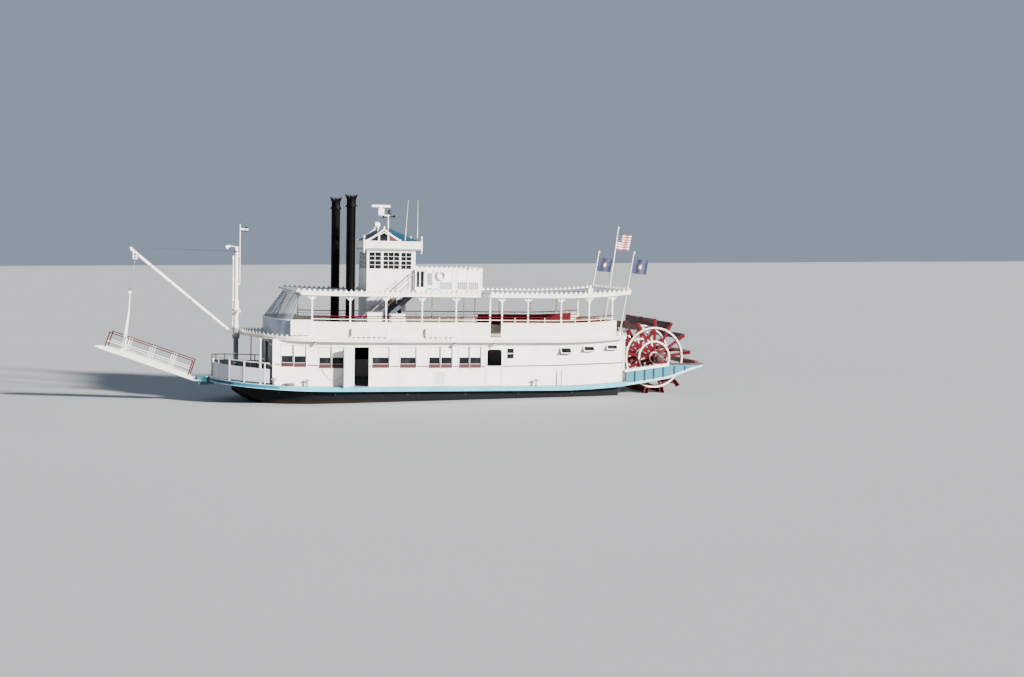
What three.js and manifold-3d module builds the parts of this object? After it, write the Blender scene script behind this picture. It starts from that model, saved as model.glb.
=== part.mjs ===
// Sternwheel paddle boat with a swinging landing stage, in millimetres.
// +X points to the bow, +Y to port, +Z up. The origin is on the flat bottom of the hull, amidships.
// The decks share one sheer, given by lift(x).

import * as THREE from 'three';
import { mergeVertices } from 'three/addons/utils/BufferGeometryUtils.js';
import Module from 'manifold-3d';

const wasm = await Module();
wasm.setup();

// Fits between pieces
const SEAT = 0.3;
const RUNNING = 6;
const TURN = Math.PI * 2;
const DEGREE = Math.PI / 180;

// Levels above the hull's bottom, amidships
const DECK_UNDER = 1360;
const DECK_TOP = 1590;
const FLOOR_UNDER = 3930;
const FLOOR_TOP = 4100;
const FLOOR_EDGE_TOP = 4110;
const BULWARK_TOP = 4940;
const CANOPY_UNDER = 6300;
const CANOPY_CEILING = 6400;
const CANOPY_TOP = 6500;

// The sheer: stations along the boat, and how much the decks rise forward and aft
const STATIONS = [-15500, -13500, -12300, -11400, -10550, -9700, -8600, -7500, -6500,
  4200, 5400, 6400, 7600, 8800, 9800, 10500, 11000, 11500, 12500];
const SHEER = { aftFrom: -6500, aftRise: 13.7e-6, forwardFrom: 4200, forwardRise: 6.35e-6 };

// Half breadths
const HULL_HALF = 3000;
const DECK_HALF = 3350;
const HOUSE_HALF = 2950;
const FLOOR_HALF = 3300;
const BULWARK_HALF = 3100;
const CANOPY_HALF = 3200;
const CABIN_HALF = 1350;
const RAIL_DECK_HALF = 1600;

// Ends of the decks and houses along the boat
const HULL_AFT = -10250;
const DECK = { aft: -10550, bowCentre: 6400, bowLength: 5050, tip: 11450 };
const FLOOR = { aft: -10500, bowCentre: 6800, bowLength: 3000, tip: 9780 };
const CANOPY = { gapForward: -2400, gapAft: -2900, aft: -10750, bowCentre: 7000, bowLength: 1200, front: 7550 };
const BULWARK = { aft: -10000, bowCentre: 7500, bowLength: 1140, thickness: 60 };
const HOUSE = { aft: -10550, aftWall: -10250, front: 8410, wall: 60 };
const CABIN = { aft: 1250, front: 3360, wall: 60 };
const PILOTHOUSE = { aft: 780, front: 3360, wall: 50, top: 8730, sill: 7680, head: 8570 };

// Paddle wheel
const WHEEL = { x: -12550, z: 3050, tip: 2150, bucketRoot: 1720, arms: 13, halfLength: 2350 };
const SHAFT_RADIUS = 110;
const SHAFT_SIDES = 16;
const RINGS = [
  { inner: 1540, outer: 1690, thickness: 60 },
  { inner: 790, outer: 940, thickness: 60 },
];
const ARM = { width: 150, thickness: 60 };
const BUCKET_THICKNESS = 50;
const FRAME_OFFSET = 2200;

// Landing stage and its gear
const MAST = { x: 10050, radius: 130, upperRadius: 85, step: 5860, top: 8640 };
const BOOM_SWING = -7.2 * DEGREE;
const BOOM = { heelOut: 260, heelZ: 4230, tipOut: 5400, tipZ: 8490, radius: 80 };
const TURNTABLE = { x: 11750, radius: 280, levels: [1655, 1905] };
const STAGE_SWING = -10.5 * DEGREE;
const STAGE = { hinge: 450, z: 1715, length: 5300, halfWidth: 480, rise: 18.5 * DEGREE };

// Stacks, with crowns of pointed leaves
const STACK = { x: 4450, y: 2750, radius: 240, wall: 25, sides: 24 };
const CROWN = { leaves: 12, foot: 11250, notch: 11300, top: 11560, flare: 110, notchHalf: 95 };

// Flagpoles at the stern, leaning aft, and their flags, which droop a little
const POLE_RADIUS = 24;
const FLAG_BELOW_TOP = 350;
const FLAG_DROOP = 0.12;
const FLAGPOLES = [
  // name, y, [foot x, z], [top x, z], flag [width, height, colour]
  { name: 'port', y: 3000, foot: [-10230, 4530], top: [-10950, 8830], flag: [950, 780, 'flagBlue'] },
  { name: 'centre', y: 0, foot: [-10330, 4530], top: [-11060, 10200], flag: [850, 880, 'flagRed'] },
  { name: 'starboard', y: -3000, foot: [-10230, 4530], top: [-10950, 8830], flag: [950, 780, 'flagBlue'] },
];

const COLOURS = {
  black: { color: 0x15171a, roughness: 0.45, metalness: 0.0 },
  blue: { color: 0x1f6fa8, roughness: 0.5, metalness: 0.0 },
  white: { color: 0xf0ede4, roughness: 0.5, metalness: 0.0 },
  cream: { color: 0xe6e0cf, roughness: 0.55, metalness: 0.0 },
  grey: { color: 0x9aa0a2, roughness: 0.7, metalness: 0.0 },
  red: { color: 0x9c1c2b, roughness: 0.5, metalness: 0.0 },
  teal: { color: 0x2f7f8c, roughness: 0.6, metalness: 0.0 },
  timber: { color: 0x2b2220, roughness: 0.8, metalness: 0.0 },
  steel: { color: 0x8b8f92, roughness: 0.4, metalness: 0.8 },
  vinyl: { color: 0xb7c2c6, roughness: 0.3, metalness: 0.0 },
  flagBlue: { color: 0x27407f, roughness: 0.85, metalness: 0.0 },
  flagRed: { color: 0xa33a3f, roughness: 0.85, metalness: 0.0 },
};

const boat = new THREE.Group();

// Adds a named piece to a group, by default to the boat itself.
function piece(name, geometry, colour, parent = boat) {
  const mesh = new THREE.Mesh(geometry, new THREE.MeshStandardMaterial(COLOURS[colour]));
  mesh.name = name;
  parent.add(mesh);
  return mesh;
}

// Closed geometry to solid, and back.
function solid(geometry) {
  const bare = geometry.index ? geometry.toNonIndexed() : geometry.clone();
  bare.deleteAttribute('normal');
  bare.deleteAttribute('uv');
  const merged = mergeVertices(bare, 1e-3);
  return new wasm.Manifold(new wasm.Mesh({
    numProp: 3,
    vertProperties: new Float32Array(merged.attributes.position.array),
    triVerts: new Uint32Array(merged.index.array),
  }));
}

function geometryOf(body) {
  const mesh = body.getMesh();
  const geometry = new THREE.BufferGeometry();
  geometry.setAttribute('position', new THREE.BufferAttribute(new Float32Array(mesh.vertProperties), 3));
  geometry.setIndex(new THREE.BufferAttribute(new Uint32Array(mesh.triVerts), 1));
  return geometry;
}

function join(...geometries) {
  return geometryOf(geometries.map(solid).reduce((all, next) => all.add(next)));
}

function cut(geometry, ...tools) {
  return geometryOf(tools.map(solid).reduce((all, next) => all.subtract(next), solid(geometry)));
}

// A block between two corners.
function block([x0, x1], [y0, y1], [z0, z1]) {
  const geometry = new THREE.BoxGeometry(x1 - x0, y1 - y0, z1 - z0);
  return geometry.translate((x0 + x1) / 2, (y0 + y1) / 2, (z0 + z1) / 2);
}

// A round bar from one point to another.
function bar(from, to, radius, sides = 8, endRadius = radius) {
  const start = new THREE.Vector3(...from);
  const along = new THREE.Vector3(...to).sub(start);
  const geometry = new THREE.CylinderGeometry(endRadius, radius, along.length(), sides);
  geometry.translate(0, along.length() / 2, 0);
  const turn = new THREE.Quaternion().setFromUnitVectors(new THREE.Vector3(0, 1, 0), along.normalize());
  return geometry.applyQuaternion(turn).translate(start.x, start.y, start.z);
}

// A side profile of [x, z] points, given thickness between two values of y.
function sidePlate(points, y0, y1) {
  const shape = new THREE.Shape(points.map(([x, z]) => new THREE.Vector2(x, z)));
  const geometry = new THREE.ExtrudeGeometry(shape, { depth: y1 - y0, bevelEnabled: false });
  return geometry.rotateX(Math.PI / 2).translate(0, y1, 0);
}

// A profile of [radius, z] points turned about a vertical axis.
function turned(points, sides, x, y) {
  const profile = points.map(([radius, z]) => new THREE.Vector2(radius, z));
  return new THREE.LatheGeometry(profile, sides).rotateX(Math.PI / 2).translate(x, y, 0);
}

// Skins a run of sections with equal numbers of [x, y, z] points; a closed run needs no ends.
function loft(sections, closed = false) {
  const count = sections[0].length;
  const positions = [];
  const triangle = (a, b, c) => positions.push(...a, ...b, ...c);
  const last = closed ? sections.length : sections.length - 1;
  for (let i = 0; i < last; i += 1) {
    const here = sections[i];
    const there = sections[(i + 1) % sections.length];
    for (let k = 0; k < count; k += 1) {
      const next = (k + 1) % count;
      triangle(here[k], there[k], there[next]);
      triangle(here[k], there[next], here[next]);
    }
  }
  if (!closed) {
    const start = sections[0];
    const end = sections[sections.length - 1];
    for (let k = 1; k < count - 1; k += 1) {
      triangle(start[0], start[k], start[k + 1]);
      triangle(end[0], end[k + 1], end[k]);
    }
  }
  const geometry = new THREE.BufferGeometry();
  geometry.setAttribute('position', new THREE.Float32BufferAttribute(positions, 3));
  return volume(positions) < 0 ? flipped(geometry) : geometry;
}

function volume(positions) {
  let sum = 0;
  for (let i = 0; i < positions.length; i += 9) {
    const [ax, ay, az, bx, by, bz, cx, cy, cz] = positions.slice(i, i + 9);
    sum += ax * (by * cz - bz * cy) + ay * (bz * cx - bx * cz) + az * (bx * cy - by * cx);
  }
  return sum;
}

function flipped(geometry) {
  const array = geometry.attributes.position.array;
  for (let i = 0; i < array.length; i += 9) {
    for (let k = 0; k < 3; k += 1) {
      [array[i + 3 + k], array[i + 6 + k]] = [array[i + 6 + k], array[i + 3 + k]];
    }
  }
  return geometry;
}

// Straight-line reading of a table of [x, value] rows.
function reading(rows, x) {
  const after = rows.findIndex(([at]) => at >= x);
  if (after === 0) return rows[0][1];
  if (after < 0) return rows[rows.length - 1][1];
  const [x0, v0] = rows[after - 1];
  const [x1, v1] = rows[after];
  return v0 + (v1 - v0) * (x - x0) / (x1 - x0);
}

// How far the decks have risen at x, with straight runs between the stations.
const SHEER_LINE = STATIONS.map((x) => [x, SHEER.forwardRise * Math.max(0, x - SHEER.forwardFrom) ** 2
  + SHEER.aftRise * Math.max(0, SHEER.aftFrom - x) ** 2]);

function lift(x) {
  return reading(SHEER_LINE, x);
}

// The places along the boat, from aft to forward, where a deck needs a section.
function placesBetween(aft, forward, extra = []) {
  const inner = [...STATIONS, ...extra].filter((x) => x > aft + 1 && x < forward - 1);
  return [aft, ...[...new Set(inner)].sort((a, b) => a - b), forward];
}

// Half breadth of a deck whose forward end is half an ellipse.
function roundedHalf(half, centre, length, x) {
  return x <= centre ? half : half * Math.sqrt(Math.max(0, 1 - ((x - centre) / length) ** 2));
}

// A deck of even thickness that follows the sheer.
function deckSlab(places, halfAt, under, top) {
  return loft(places.map((x) => {
    const half = halfAt(x);
    const rise = lift(x);
    return [[x, -half, under + rise], [x, half, under + rise], [x, half, top + rise], [x, -half, top + rise]];
  }));
}

// A standing wall along a plan route of [x, y] points, with its thickness to the route's left.
function wallAlong(route, thickness, under, top, closed = false) {
  const count = route.length;
  const sections = route.map(([x, y], i) => {
    const before = route[closed ? (i + count - 1) % count : Math.max(0, i - 1)];
    const after = route[closed ? (i + 1) % count : Math.min(count - 1, i + 1)];
    const into = new THREE.Vector2(x - before[0], y - before[1]).normalize();
    const out = new THREE.Vector2(after[0] - x, after[1] - y).normalize();
    const first = into.length() > 0 ? into : out;
    const second = out.length() > 0 ? out : into;
    const mitre = new THREE.Vector2(-first.y - second.y, first.x + second.x).normalize();
    const reach = thickness / Math.max(0.5, mitre.x * -first.y + mitre.y * first.x);
    const inner = [x + mitre.x * reach, y + mitre.y * reach];
    const low = (at) => under + lift(at[0]);
    const high = (at) => top + lift(at[0]);
    return [[x, y, low([x, y])], [...inner, low(inner)], [...inner, high(inner)], [x, y, high([x, y])]];
  });
  return loft(sections, closed);
}

// Plan route round a rounded forward end, from starboard to port, and on along both sides.
function bowRoute(half, centre, length, steps, degrees = 90) {
  const route = [];
  for (let i = 0; i <= steps; i += 1) {
    const turn = (-degrees + 2 * degrees * i / steps) * DEGREE;
    route.push([centre + length * Math.cos(turn), half * Math.sin(turn)]);
  }
  return route;
}

function mirrored(geometry) {
  const copy = geometry.clone();
  copy.scale(1, -1, 1);
  const plain = copy.index ? copy.toNonIndexed() : copy;
  plain.deleteAttribute('normal');
  return flipped(plain);
}

// Hull
const HULL_TABLE = [
  // [x, half breadth at the deck, half breadth at the bottom, bottom height]
  [HULL_AFT, 2900, 2450, 420],
  [-7500, HULL_HALF, 2750, 0],
  [4200, HULL_HALF, 2750, 0],
  [6400, 2850, 2450, 0],
  [7600, 2450, 1950, 160],
  [8800, 1800, 1150, 480],
  [9800, 950, 480, 900],
  [10250, 320, 160, 1200],
];

// Rudders under the stern, each in a bracket on the transom
const RUDDER = { x: -10420, y: 1100, radius: 50, blade: [150, 950], bracket: [1000, 1060] };

function hull() {
  const column = (index) => HULL_TABLE.map((row) => [row[0], row[index]]);
  const places = placesBetween(HULL_AFT, 10250, HULL_TABLE.map((row) => row[0]));
  const body = loft(places.map((x) => {
    const half = reading(column(1), x);
    const flat = reading(column(2), x);
    const bottom = reading(column(3), x);
    const top = DECK_UNDER + lift(x) - SEAT;
    const chine = bottom + (top - bottom) * 0.3;
    return [[x, -half, top], [x, -half, chine], [x, -flat, bottom],
      [x, flat, bottom], [x, half, chine], [x, half, top]];
  }));
  const brackets = [-1, 1].map((side) => cut(
    block([RUDDER.x - 90, HULL_AFT + 5], [side * RUDDER.y - 90, side * RUDDER.y + 90], RUDDER.bracket),
    bar([RUDDER.x, side * RUDDER.y, 900], [RUDDER.x, side * RUDDER.y, 1100], RUDDER.radius + RUNNING, 10),
  ));
  return join(body, ...brackets);
}

// Main deck, with the platform at the bow that carries the landing stage, and its bitts
const BITT = { radius: 45, height: 380, armHalf: 25, armReach: 130, armLow: 270, armHigh: 330 };
const BITTS = [
  // [x, y]
  [8350, 3000], [6680, 3150], [-5530, 3180],
];
const DECK_POST = { x: -6930, y: 3180, radius: 30, height: 850 };
const PLATFORM = { along: [11200, 12000], half: 260, levels: [1480, 1655], riser: [11440, 1850] };

function mainDeck() {
  const places = placesBetween(DECK.aft, DECK.tip, [11250]);
  const slab = deckSlab(places, (x) => roundedHalf(DECK_HALF, DECK.bowCentre, DECK.bowLength + 60, x),
    DECK_UNDER, DECK_TOP);
  const across = [-PLATFORM.half, PLATFORM.half];
  const platform = join(block(PLATFORM.along, across, PLATFORM.levels),
    block([PLATFORM.along[0], PLATFORM.riser[0]], across, [PLATFORM.levels[0], PLATFORM.riser[1]]));
  const upright = (x, y, radius, height) => {
    const foot = DECK_TOP + lift(x) - 20;
    return bar([x, y, foot], [x, y, foot + height], radius, 8);
  };
  const bitts = [-1, 1].flatMap((side) => BITTS.flatMap(([x, y]) => {
    const foot = DECK_TOP + lift(x);
    return [upright(x, y * side, BITT.radius, BITT.height),
      block([x - BITT.armReach, x + BITT.armReach], [y * side - BITT.armHalf, y * side + BITT.armHalf],
        [foot + BITT.armLow, foot + BITT.armHigh])];
  }));
  const deckPosts = [-1, 1].map((side) => upright(DECK_POST.x, side * DECK_POST.y, DECK_POST.radius,
    DECK_POST.height));
  return join(slab, platform, ...bitts, ...deckPosts);
}

// Timbers that carry the wheel, one each side, and the beam between their tips
const TIMBER = { outer: 3050, inner: 2700, tip: -15130 };
const TIMBER_LOWER = [
  // [x, z] along the lower edge, from the deck aft
  [DECK.aft - SEAT, 1580], [-11900, 1760], [-13100, 1970], [-14200, 2350], [-15050, 2630],
];
const TIMBER_UPPER = [[TIMBER.tip, 2790], [-13080, 2770], [DECK.aft - SEAT, 2440]];
const BEARING = { half: 260, top: 3330 };

function sternFrame() {
  const timber = sidePlate([...TIMBER_LOWER, ...TIMBER_UPPER], TIMBER.inner, TIMBER.outer);
  const bearing = cut(
    block([WHEEL.x - BEARING.half, WHEEL.x + BEARING.half], [TIMBER.inner + 20, TIMBER.outer - 40],
      [2600, BEARING.top]),
    bar([WHEEL.x, TIMBER.inner, WHEEL.z], [WHEEL.x, TIMBER.outer, WHEEL.z], SHAFT_RADIUS + RUNNING,
      SHAFT_SIDES),
  );
  const port = join(timber, bearing);
  const beam = block([-15000, -14760], [-TIMBER.inner - 20, TIMBER.inner + 20], [2640, 2880]);
  return join(port, mirrored(port), beam);
}

// Door hinges, made about the hinge line: the leaf shut along -X, outdoors along +Y
const HINGE = { outset: 20, radius: 14, height: 60, reach: 50 };
const LEAF_INSET = 25;

function knuckles(heights) {
  return heights.flatMap((z) => [
    bar([0, 0, z], [0, 0, z + HINGE.height], HINGE.radius, 10),
    block([-60, 0], [-LEAF_INSET - 1, -8], [z, z + HINGE.height]),
  ]);
}

function hingeBrackets(heights) {
  return heights.flatMap((z) => [
    bar([0, 0, z - HINGE.height], [0, 0, z - SEAT], HINGE.radius, 10),
    block([0, HINGE.reach], [-HINGE.outset - 1, HINGE.radius], [z - HINGE.height, z - SEAT]),
  ]);
}

// Walls of the deckhouse: openings as [from x, to x, from z, to z]
const SIDE_DOOR = { aft: 3460, forward: 4260, head: 3650, clearance: 6, thickness: 40, hinges: [1900, 3350] };
const SIDE_DOOR_OPEN = -141 * DEGREE;
const HALF_DOOR = { aft: -3660, forward: -2870, head: 3530, leafTop: 2650, hinges: [1850, 2450] };
const WINDOWS = [
  [8000, 7380, 2640, 3760], [7340, 6710, 2620, 3750], [6060, 5430, 2560, 3650], [5390, 4750, 2560, 3650],
  [3300, 2390, 2560, 3650], [1830, 960, 2560, 3650], [290, -320, 2550, 3660], [-360, -970, 2550, 3660],
  [-1330, -1890, 2550, 3660], [-1920, -2540, 2550, 3660], [-3950, -4320, 3050, 3580],
  [-6890, -7520, 3260, 3640], [-8180, -8820, 3390, 3720], [-9490, -10130, 3480, 3800],
];

function houseSide() {
  const places = placesBetween(HOUSE.aft, HOUSE.front);
  const outline = [
    ...places.map((x) => [x, DECK_TOP + lift(x) + SEAT]),
    ...places.toReversed().map((x) => [x, FLOOR_UNDER + lift(x) - SEAT]),
  ];
  const wall = sidePlate(outline, HOUSE_HALF - HOUSE.wall, HOUSE_HALF);
  const through = [HOUSE_HALF - 200, HOUSE_HALF + 100];
  const openings = WINDOWS.map(([x0, x1, z0, z1]) => block([x1, x0], through, [z0, z1]));
  const doors = [SIDE_DOOR, HALF_DOOR].map((door) => block([door.aft, door.forward], through,
    [DECK_TOP - 100, door.head]));
  const brackets = [SIDE_DOOR, HALF_DOOR].flatMap((door) => hingeBrackets(door.hinges)
    .map((bracket) => bracket.translate(door.forward, HOUSE_HALF + HINGE.outset, 0)));
  return join(cut(wall, ...openings, ...doors), ...brackets);
}

const FRONT_DOORWAY = { half: 900, head: 3780 };

function houseEnd(x0, x1, doorHalf, doorHead) {
  const inside = HOUSE_HALF - HOUSE.wall - SEAT;
  const foot = DECK_TOP + Math.max(lift(x0), lift(x1)) + SEAT;
  const head = FLOOR_UNDER + Math.min(lift(x0), lift(x1)) - SEAT;
  const wall = block([x0, x1], [-inside, inside], [foot, head]);
  return cut(wall, block([x0 - 50, x1 + 50], [-doorHalf, doorHalf], [foot - 50, doorHead]));
}

// Upper deck: the floor over the house, and the fascia board round its edge
function upperDeck() {
  const halfAt = (x) => roundedHalf(FLOOR_HALF, FLOOR.bowCentre, FLOOR.bowLength, x);
  const extra = [7100, 8200, 9300, 9600];
  const slab = deckSlab(placesBetween(FLOOR.aft, FLOOR.tip, extra), halfAt, FLOOR_UNDER, FLOOR_TOP);
  const edge = edgeBoard(FLOOR, FLOOR_HALF, extra, FLOOR_UNDER, FLOOR_EDGE_TOP);
  return join(slab, edge);
}

// A board on edge round a deck, 40 mm thick, set just proud of the deck's edge.
function edgeBoard(deck, half, extra, under, top) {
  const aft = deck.aft;
  const tip = deck.tip ?? deck.bowCentre + deck.bowLength - 20;
  const places = placesBetween(aft, tip, extra);
  const halfAt = (x) => roundedHalf(half, deck.bowCentre, deck.bowLength, x) + 2;
  const route = [
    ...places.map((x) => [x, -halfAt(x)]),
    ...places.toReversed().map((x) => [x, halfAt(x)]),
  ];
  return wallAlong(route, 40, under, top, true);
}

// Bulwark round the upper deck, with a gate each side and lockers outside it
const GATE = { aft: -3565, forward: -2985, sill: 4180 };
const LOCKERS = [
  // [from x, to x, from z, to z]
  [6520, 7540, 4290, 5050], [2530, 4420, 4110, 4610], [-1020, 530, 4110, 4610],
];

function upperBulwark() {
  const places = placesBetween(BULWARK.aft, BULWARK.bowCentre);
  const route = [
    ...places.map((x) => [x, -BULWARK_HALF]),
    ...bowRoute(BULWARK_HALF, BULWARK.bowCentre, BULWARK.bowLength, 8).slice(1, -1),
    ...places.toReversed().map((x) => [x, BULWARK_HALF]),
  ];
  const wall = wallAlong(route, BULWARK.thickness, FLOOR_TOP + SEAT, BULWARK_TOP, true);
  const gates = block([GATE.aft, GATE.forward], [-4000, 4000], [GATE.sill, 6000]);
  const lockers = LOCKERS.flatMap(([x0, x1, z0, z1]) => [-1, 1].map((side) => {
    const across = [BULWARK_HALF - 10, FLOOR_HALF - 45];
    return block([x0, x1], side > 0 ? across : [-across[1], -across[0]], [z0, z1]);
  }));
  return join(cut(wall, gates), ...lockers);
}

// Canopies with their posts, which stand on the bulwark
const POSTS_FORWARD = [6450, 4490, 2620, 710, -1110];
const POSTS_AFT = [-3600, -5030, -6870, -8440, -9750];
const GATE_POST = -2950;
const POST_HALF = 35;
const BRACKET = 300;
const BRACKET_EYE = { near: 50, far: 215, below: 105 };

function post(x, side, bracketed) {
  const y = BULWARK_HALF - BULWARK.thickness / 2;
  const foot = BULWARK_TOP + Math.max(lift(x - POST_HALF), lift(x + POST_HALF)) + SEAT;
  const head = CANOPY_CEILING + lift(x) + 10;
  const across = [side * y - POST_HALF, side * y + POST_HALF];
  const shaft = block([x - POST_HALF, x + POST_HALF], across, [foot, head]);
  if (!bracketed) return [shaft];
  const low = head - BRACKET - 110;
  const bracket = sidePlate([[x - BRACKET, head - 60], [x - BRACKET, head - 110], [x, low],
    [x + BRACKET, head - 110], [x + BRACKET, head - 60]], side * y - 15, side * y + 15);
  const { near, far, below } = BRACKET_EYE;
  const eyeTop = head - below;
  const eyes = [-1, 1].map((hand) => sidePlate([[x + hand * near, eyeTop], [x + hand * far, eyeTop],
    [x + hand * near, eyeTop - far + near]], side * y - 20, side * y + 20));
  return [shaft, cut(bracket, ...eyes)];
}

function canopyRoof(places, halfAt) {
  const whole = deckSlab(places, halfAt, CANOPY_UNDER, CANOPY_TOP);
  const inset = (x) => Math.max(120, halfAt(x) - 40);
  const ends = [places[0] + 40, places[places.length - 1] - 40];
  const inner = placesBetween(ends[0], ends[1], places);
  return cut(whole, deckSlab(inner, inset, CANOPY_UNDER - 100, CANOPY_CEILING));
}

const HATCH = { x: [900, 2800], y: [1440, 2260] };

function canopyForward() {
  const halfAt = (x) => roundedHalf(CANOPY_HALF, CANOPY.bowCentre, CANOPY.bowLength, x);
  const places = placesBetween(CANOPY.gapForward, CANOPY.front, [7000, 7150, 7300, 7450]);
  const brow = deckSlab(placesBetween(7060, 8300), () => 4000, CANOPY_UNDER - 100, CANOPY_CEILING);
  const roof = cut(canopyRoof(places, halfAt), brow);
  const tongue = block([-2865, -2380], [-1650, 1650], [CANOPY_CEILING, CANOPY_TOP]);
  const posts = POSTS_FORWARD.flatMap((x) => [-1, 1].flatMap((side) => post(x, side, true)));
  const stackHoles = [-1, 1].map((side) => bar([STACK.x, side * STACK.y, 6000],
    [STACK.x, side * STACK.y, 7000], STACK.radius + 12, STACK.sides));
  const hatch = block(HATCH.x, HATCH.y, [6000, 7000]);
  return cut(join(roof, tongue, ...posts), ...stackHoles, hatch);
}

function canopyAft() {
  const places = placesBetween(CANOPY.aft, CANOPY.gapAft);
  const roof = canopyRoof(places, () => CANOPY_HALF);
  const posts = POSTS_AFT.flatMap((x) => [-1, 1].flatMap((side) => post(x, side, true)));
  const gatePosts = [-1, 1].flatMap((side) => post(GATE_POST, side, false));
  const slots = FLAGPOLES.map(({ y }) => block([CANOPY.aft - 100, CANOPY.aft + 260], [y - 45, y + 45],
    [CANOPY_UNDER - 200, CANOPY_TOP + 500]));
  return cut(join(roof, ...posts, ...gatePosts), ...slots);
}

// Rails outside the posts, one frame of two bars on each side
const RAIL = { low: 5090, high: 5250, radius: 22 };

function upperRail() {
  const y = BULWARK_HALF + 5 + SEAT + RAIL.radius;
  const places = placesBetween(POSTS_AFT[4] - 60, POSTS_FORWARD[0] + 60);
  const bars = [RAIL.low, RAIL.high].map((z) => loft(places.map((x) => {
    const section = [[-1, -1], [1, -1], [1, 1], [-1, 1]];
    return section.map(([dy, dz]) => [x, y + dy * RAIL.radius, z + lift(x) + dz * RAIL.radius]);
  })));
  const straps = [...POSTS_FORWARD, ...POSTS_AFT].map((x) => block([x - 20, x + 20],
    [y - RAIL.radius + 1, y + RAIL.radius - 1], [RAIL.low + lift(x) - 30, RAIL.high + lift(x) + 10]));
  return join(...bars, ...straps);
}

// Clear curtain between the canopy's front and the bulwark
function frontCurtain() {
  const steps = 8;
  const turns = Array.from({ length: steps + 1 }, (_, i) => (-90 + 180 * i / steps) * DEGREE);
  const wraps = [turns[0], turns[turns.length - 1]].map((turn) => [turn, 350, 500]);
  const rows = [wraps[0], ...turns.map((turn) => [turn, 0, 0]), wraps[1]];
  return loft(rows.map(([turn, aside, lower]) => {
    const y = 3045 * Math.sin(turn);
    const highX = 6960 + 530 * Math.cos(turn) - aside;
    const lowX = 7480 + 1100 * Math.cos(turn) - aside - lower;
    const low = (x) => BULWARK_TOP + lift(x) + 15;
    const high = (x) => CANOPY_CEILING + lift(x) - SEAT;
    return [[lowX, y, low(lowX)], [lowX - 14, y * 0.996, low(lowX - 14)],
      [highX - 14, y * 0.996, high(highX - 14)], [highX, y, high(highX)]];
  }));
}

// Cabin on the upper deck below the pilothouse
function upperCabin() {
  const route = [[CABIN.aft, -CABIN_HALF], [CABIN.front, -CABIN_HALF], [CABIN.front, CABIN_HALF],
    [CABIN.aft, CABIN_HALF]];
  const walls = wallAlong(route, CABIN.wall, FLOOR_TOP + SEAT, CANOPY_CEILING - SEAT, true);
  return cut(walls, block([1500, 2200], [1000, 1500], [FLOOR_TOP - 50, 6050]));
}

// Pilothouse walls, standing on the canopy
const PILOT_WINDOWS = [[2610, 3260], [1640, 2510], [990, 1550]];
const PILOT_DOOR = { half: 350, head: 8500, thickness: 22, hinges: [6900, 8200] };

function pilothouseSide() {
  const wall = block([PILOTHOUSE.aft, PILOTHOUSE.front], [CABIN_HALF - PILOTHOUSE.wall, CABIN_HALF],
    [CANOPY_TOP + SEAT, PILOTHOUSE.top]);
  const panes = PILOT_WINDOWS.map((along) => block(along, [1200, 1500], [PILOTHOUSE.sill, PILOTHOUSE.head]));
  return cut(wall, ...panes);
}

function pilothouseFront() {
  const inside = CABIN_HALF - PILOTHOUSE.wall - SEAT;
  const wall = block([PILOTHOUSE.front - PILOTHOUSE.wall, PILOTHOUSE.front], [-inside, inside],
    [CANOPY_TOP + SEAT, PILOTHOUSE.top]);
  const panes = [[-1200, -450], [-400, 400], [450, 1200]];
  return cut(wall, ...panes.map((across) => block([3000, 3500], across, [PILOTHOUSE.sill, PILOTHOUSE.head])));
}

function pilothouseAft() {
  const inside = CABIN_HALF - PILOTHOUSE.wall - SEAT;
  const wall = block([PILOTHOUSE.aft, PILOTHOUSE.aft + PILOTHOUSE.wall], [-inside, inside],
    [CANOPY_TOP + SEAT, PILOTHOUSE.top]);
  const door = block([500, 1000], [-PILOT_DOOR.half, PILOT_DOOR.half], [CANOPY_TOP - 50, PILOT_DOOR.head]);
  const panes = [[-1200, -500], [500, 1200]];
  const brackets = hingeBrackets(PILOT_DOOR.hinges).map((bracket) => bracket.rotateZ(Math.PI / 2)
    .translate(PILOTHOUSE.aft - HINGE.outset, PILOT_DOOR.half, 0));
  const glazed = panes.map((across) => block([500, 1000], across, [PILOTHOUSE.sill, PILOTHOUSE.head]));
  return join(cut(wall, door, ...glazed), ...brackets);
}

// Its roof: a hipped roof over deep eaves, crossed by a gable that faces both sides
const ROOF_TABLE = [
  // [z, half length, half width]
  [PILOTHOUSE.top + SEAT, 1560, 1550], [9140, 1560, 1550], [9160, 1460, 1450], [9400, 950, 940],
  [9650, 470, 460], [9860, 40, 40],
];
const ROOF_CENTRE = 2020;
const GABLE = { half: 1500, outline: [[3450, 9130], [2960, 9440], [2500, 9760], [2040, 9440], [1580, 9130]] };

function pilothouseRoof() {
  const hip = loft(ROOF_TABLE.map(([z, a, b]) => [
    [ROOF_CENTRE - a, -b, z], [ROOF_CENTRE + a, -b, z], [ROOF_CENTRE + a, b, z], [ROOF_CENTRE - a, b, z]]));
  return join(hip, sidePlate(GABLE.outline, -GABLE.half, GABLE.half));
}

// Radar on the roof
const RADAR = { x: 2420, bodyTop: 10900, barZ: 11030 };

function radarMast() {
  const pole = bar([ROOF_CENTRE, 0, 9860 + SEAT], [ROOF_CENTRE, 0, 10560], 38);
  const shelf = block([ROOF_CENTRE - 60, RADAR.x + 160], [-60, 60], [10500, 10560]);
  const body = block([RADAR.x - 150, RADAR.x + 150], [-150, 150], [10550, RADAR.bodyTop]);
  return join(pole, shelf, body);
}

function radarScanner() {
  const hub = bar([RADAR.x, 0, RADAR.bodyTop + SEAT], [RADAR.x, 0, RADAR.barZ], 60, 12);
  const barBody = block([RADAR.x - 500, RADAR.x + 500], [-60, 60], [RADAR.barZ - 60, RADAR.barZ + 60]);
  return join(hub, barBody);
}

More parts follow.
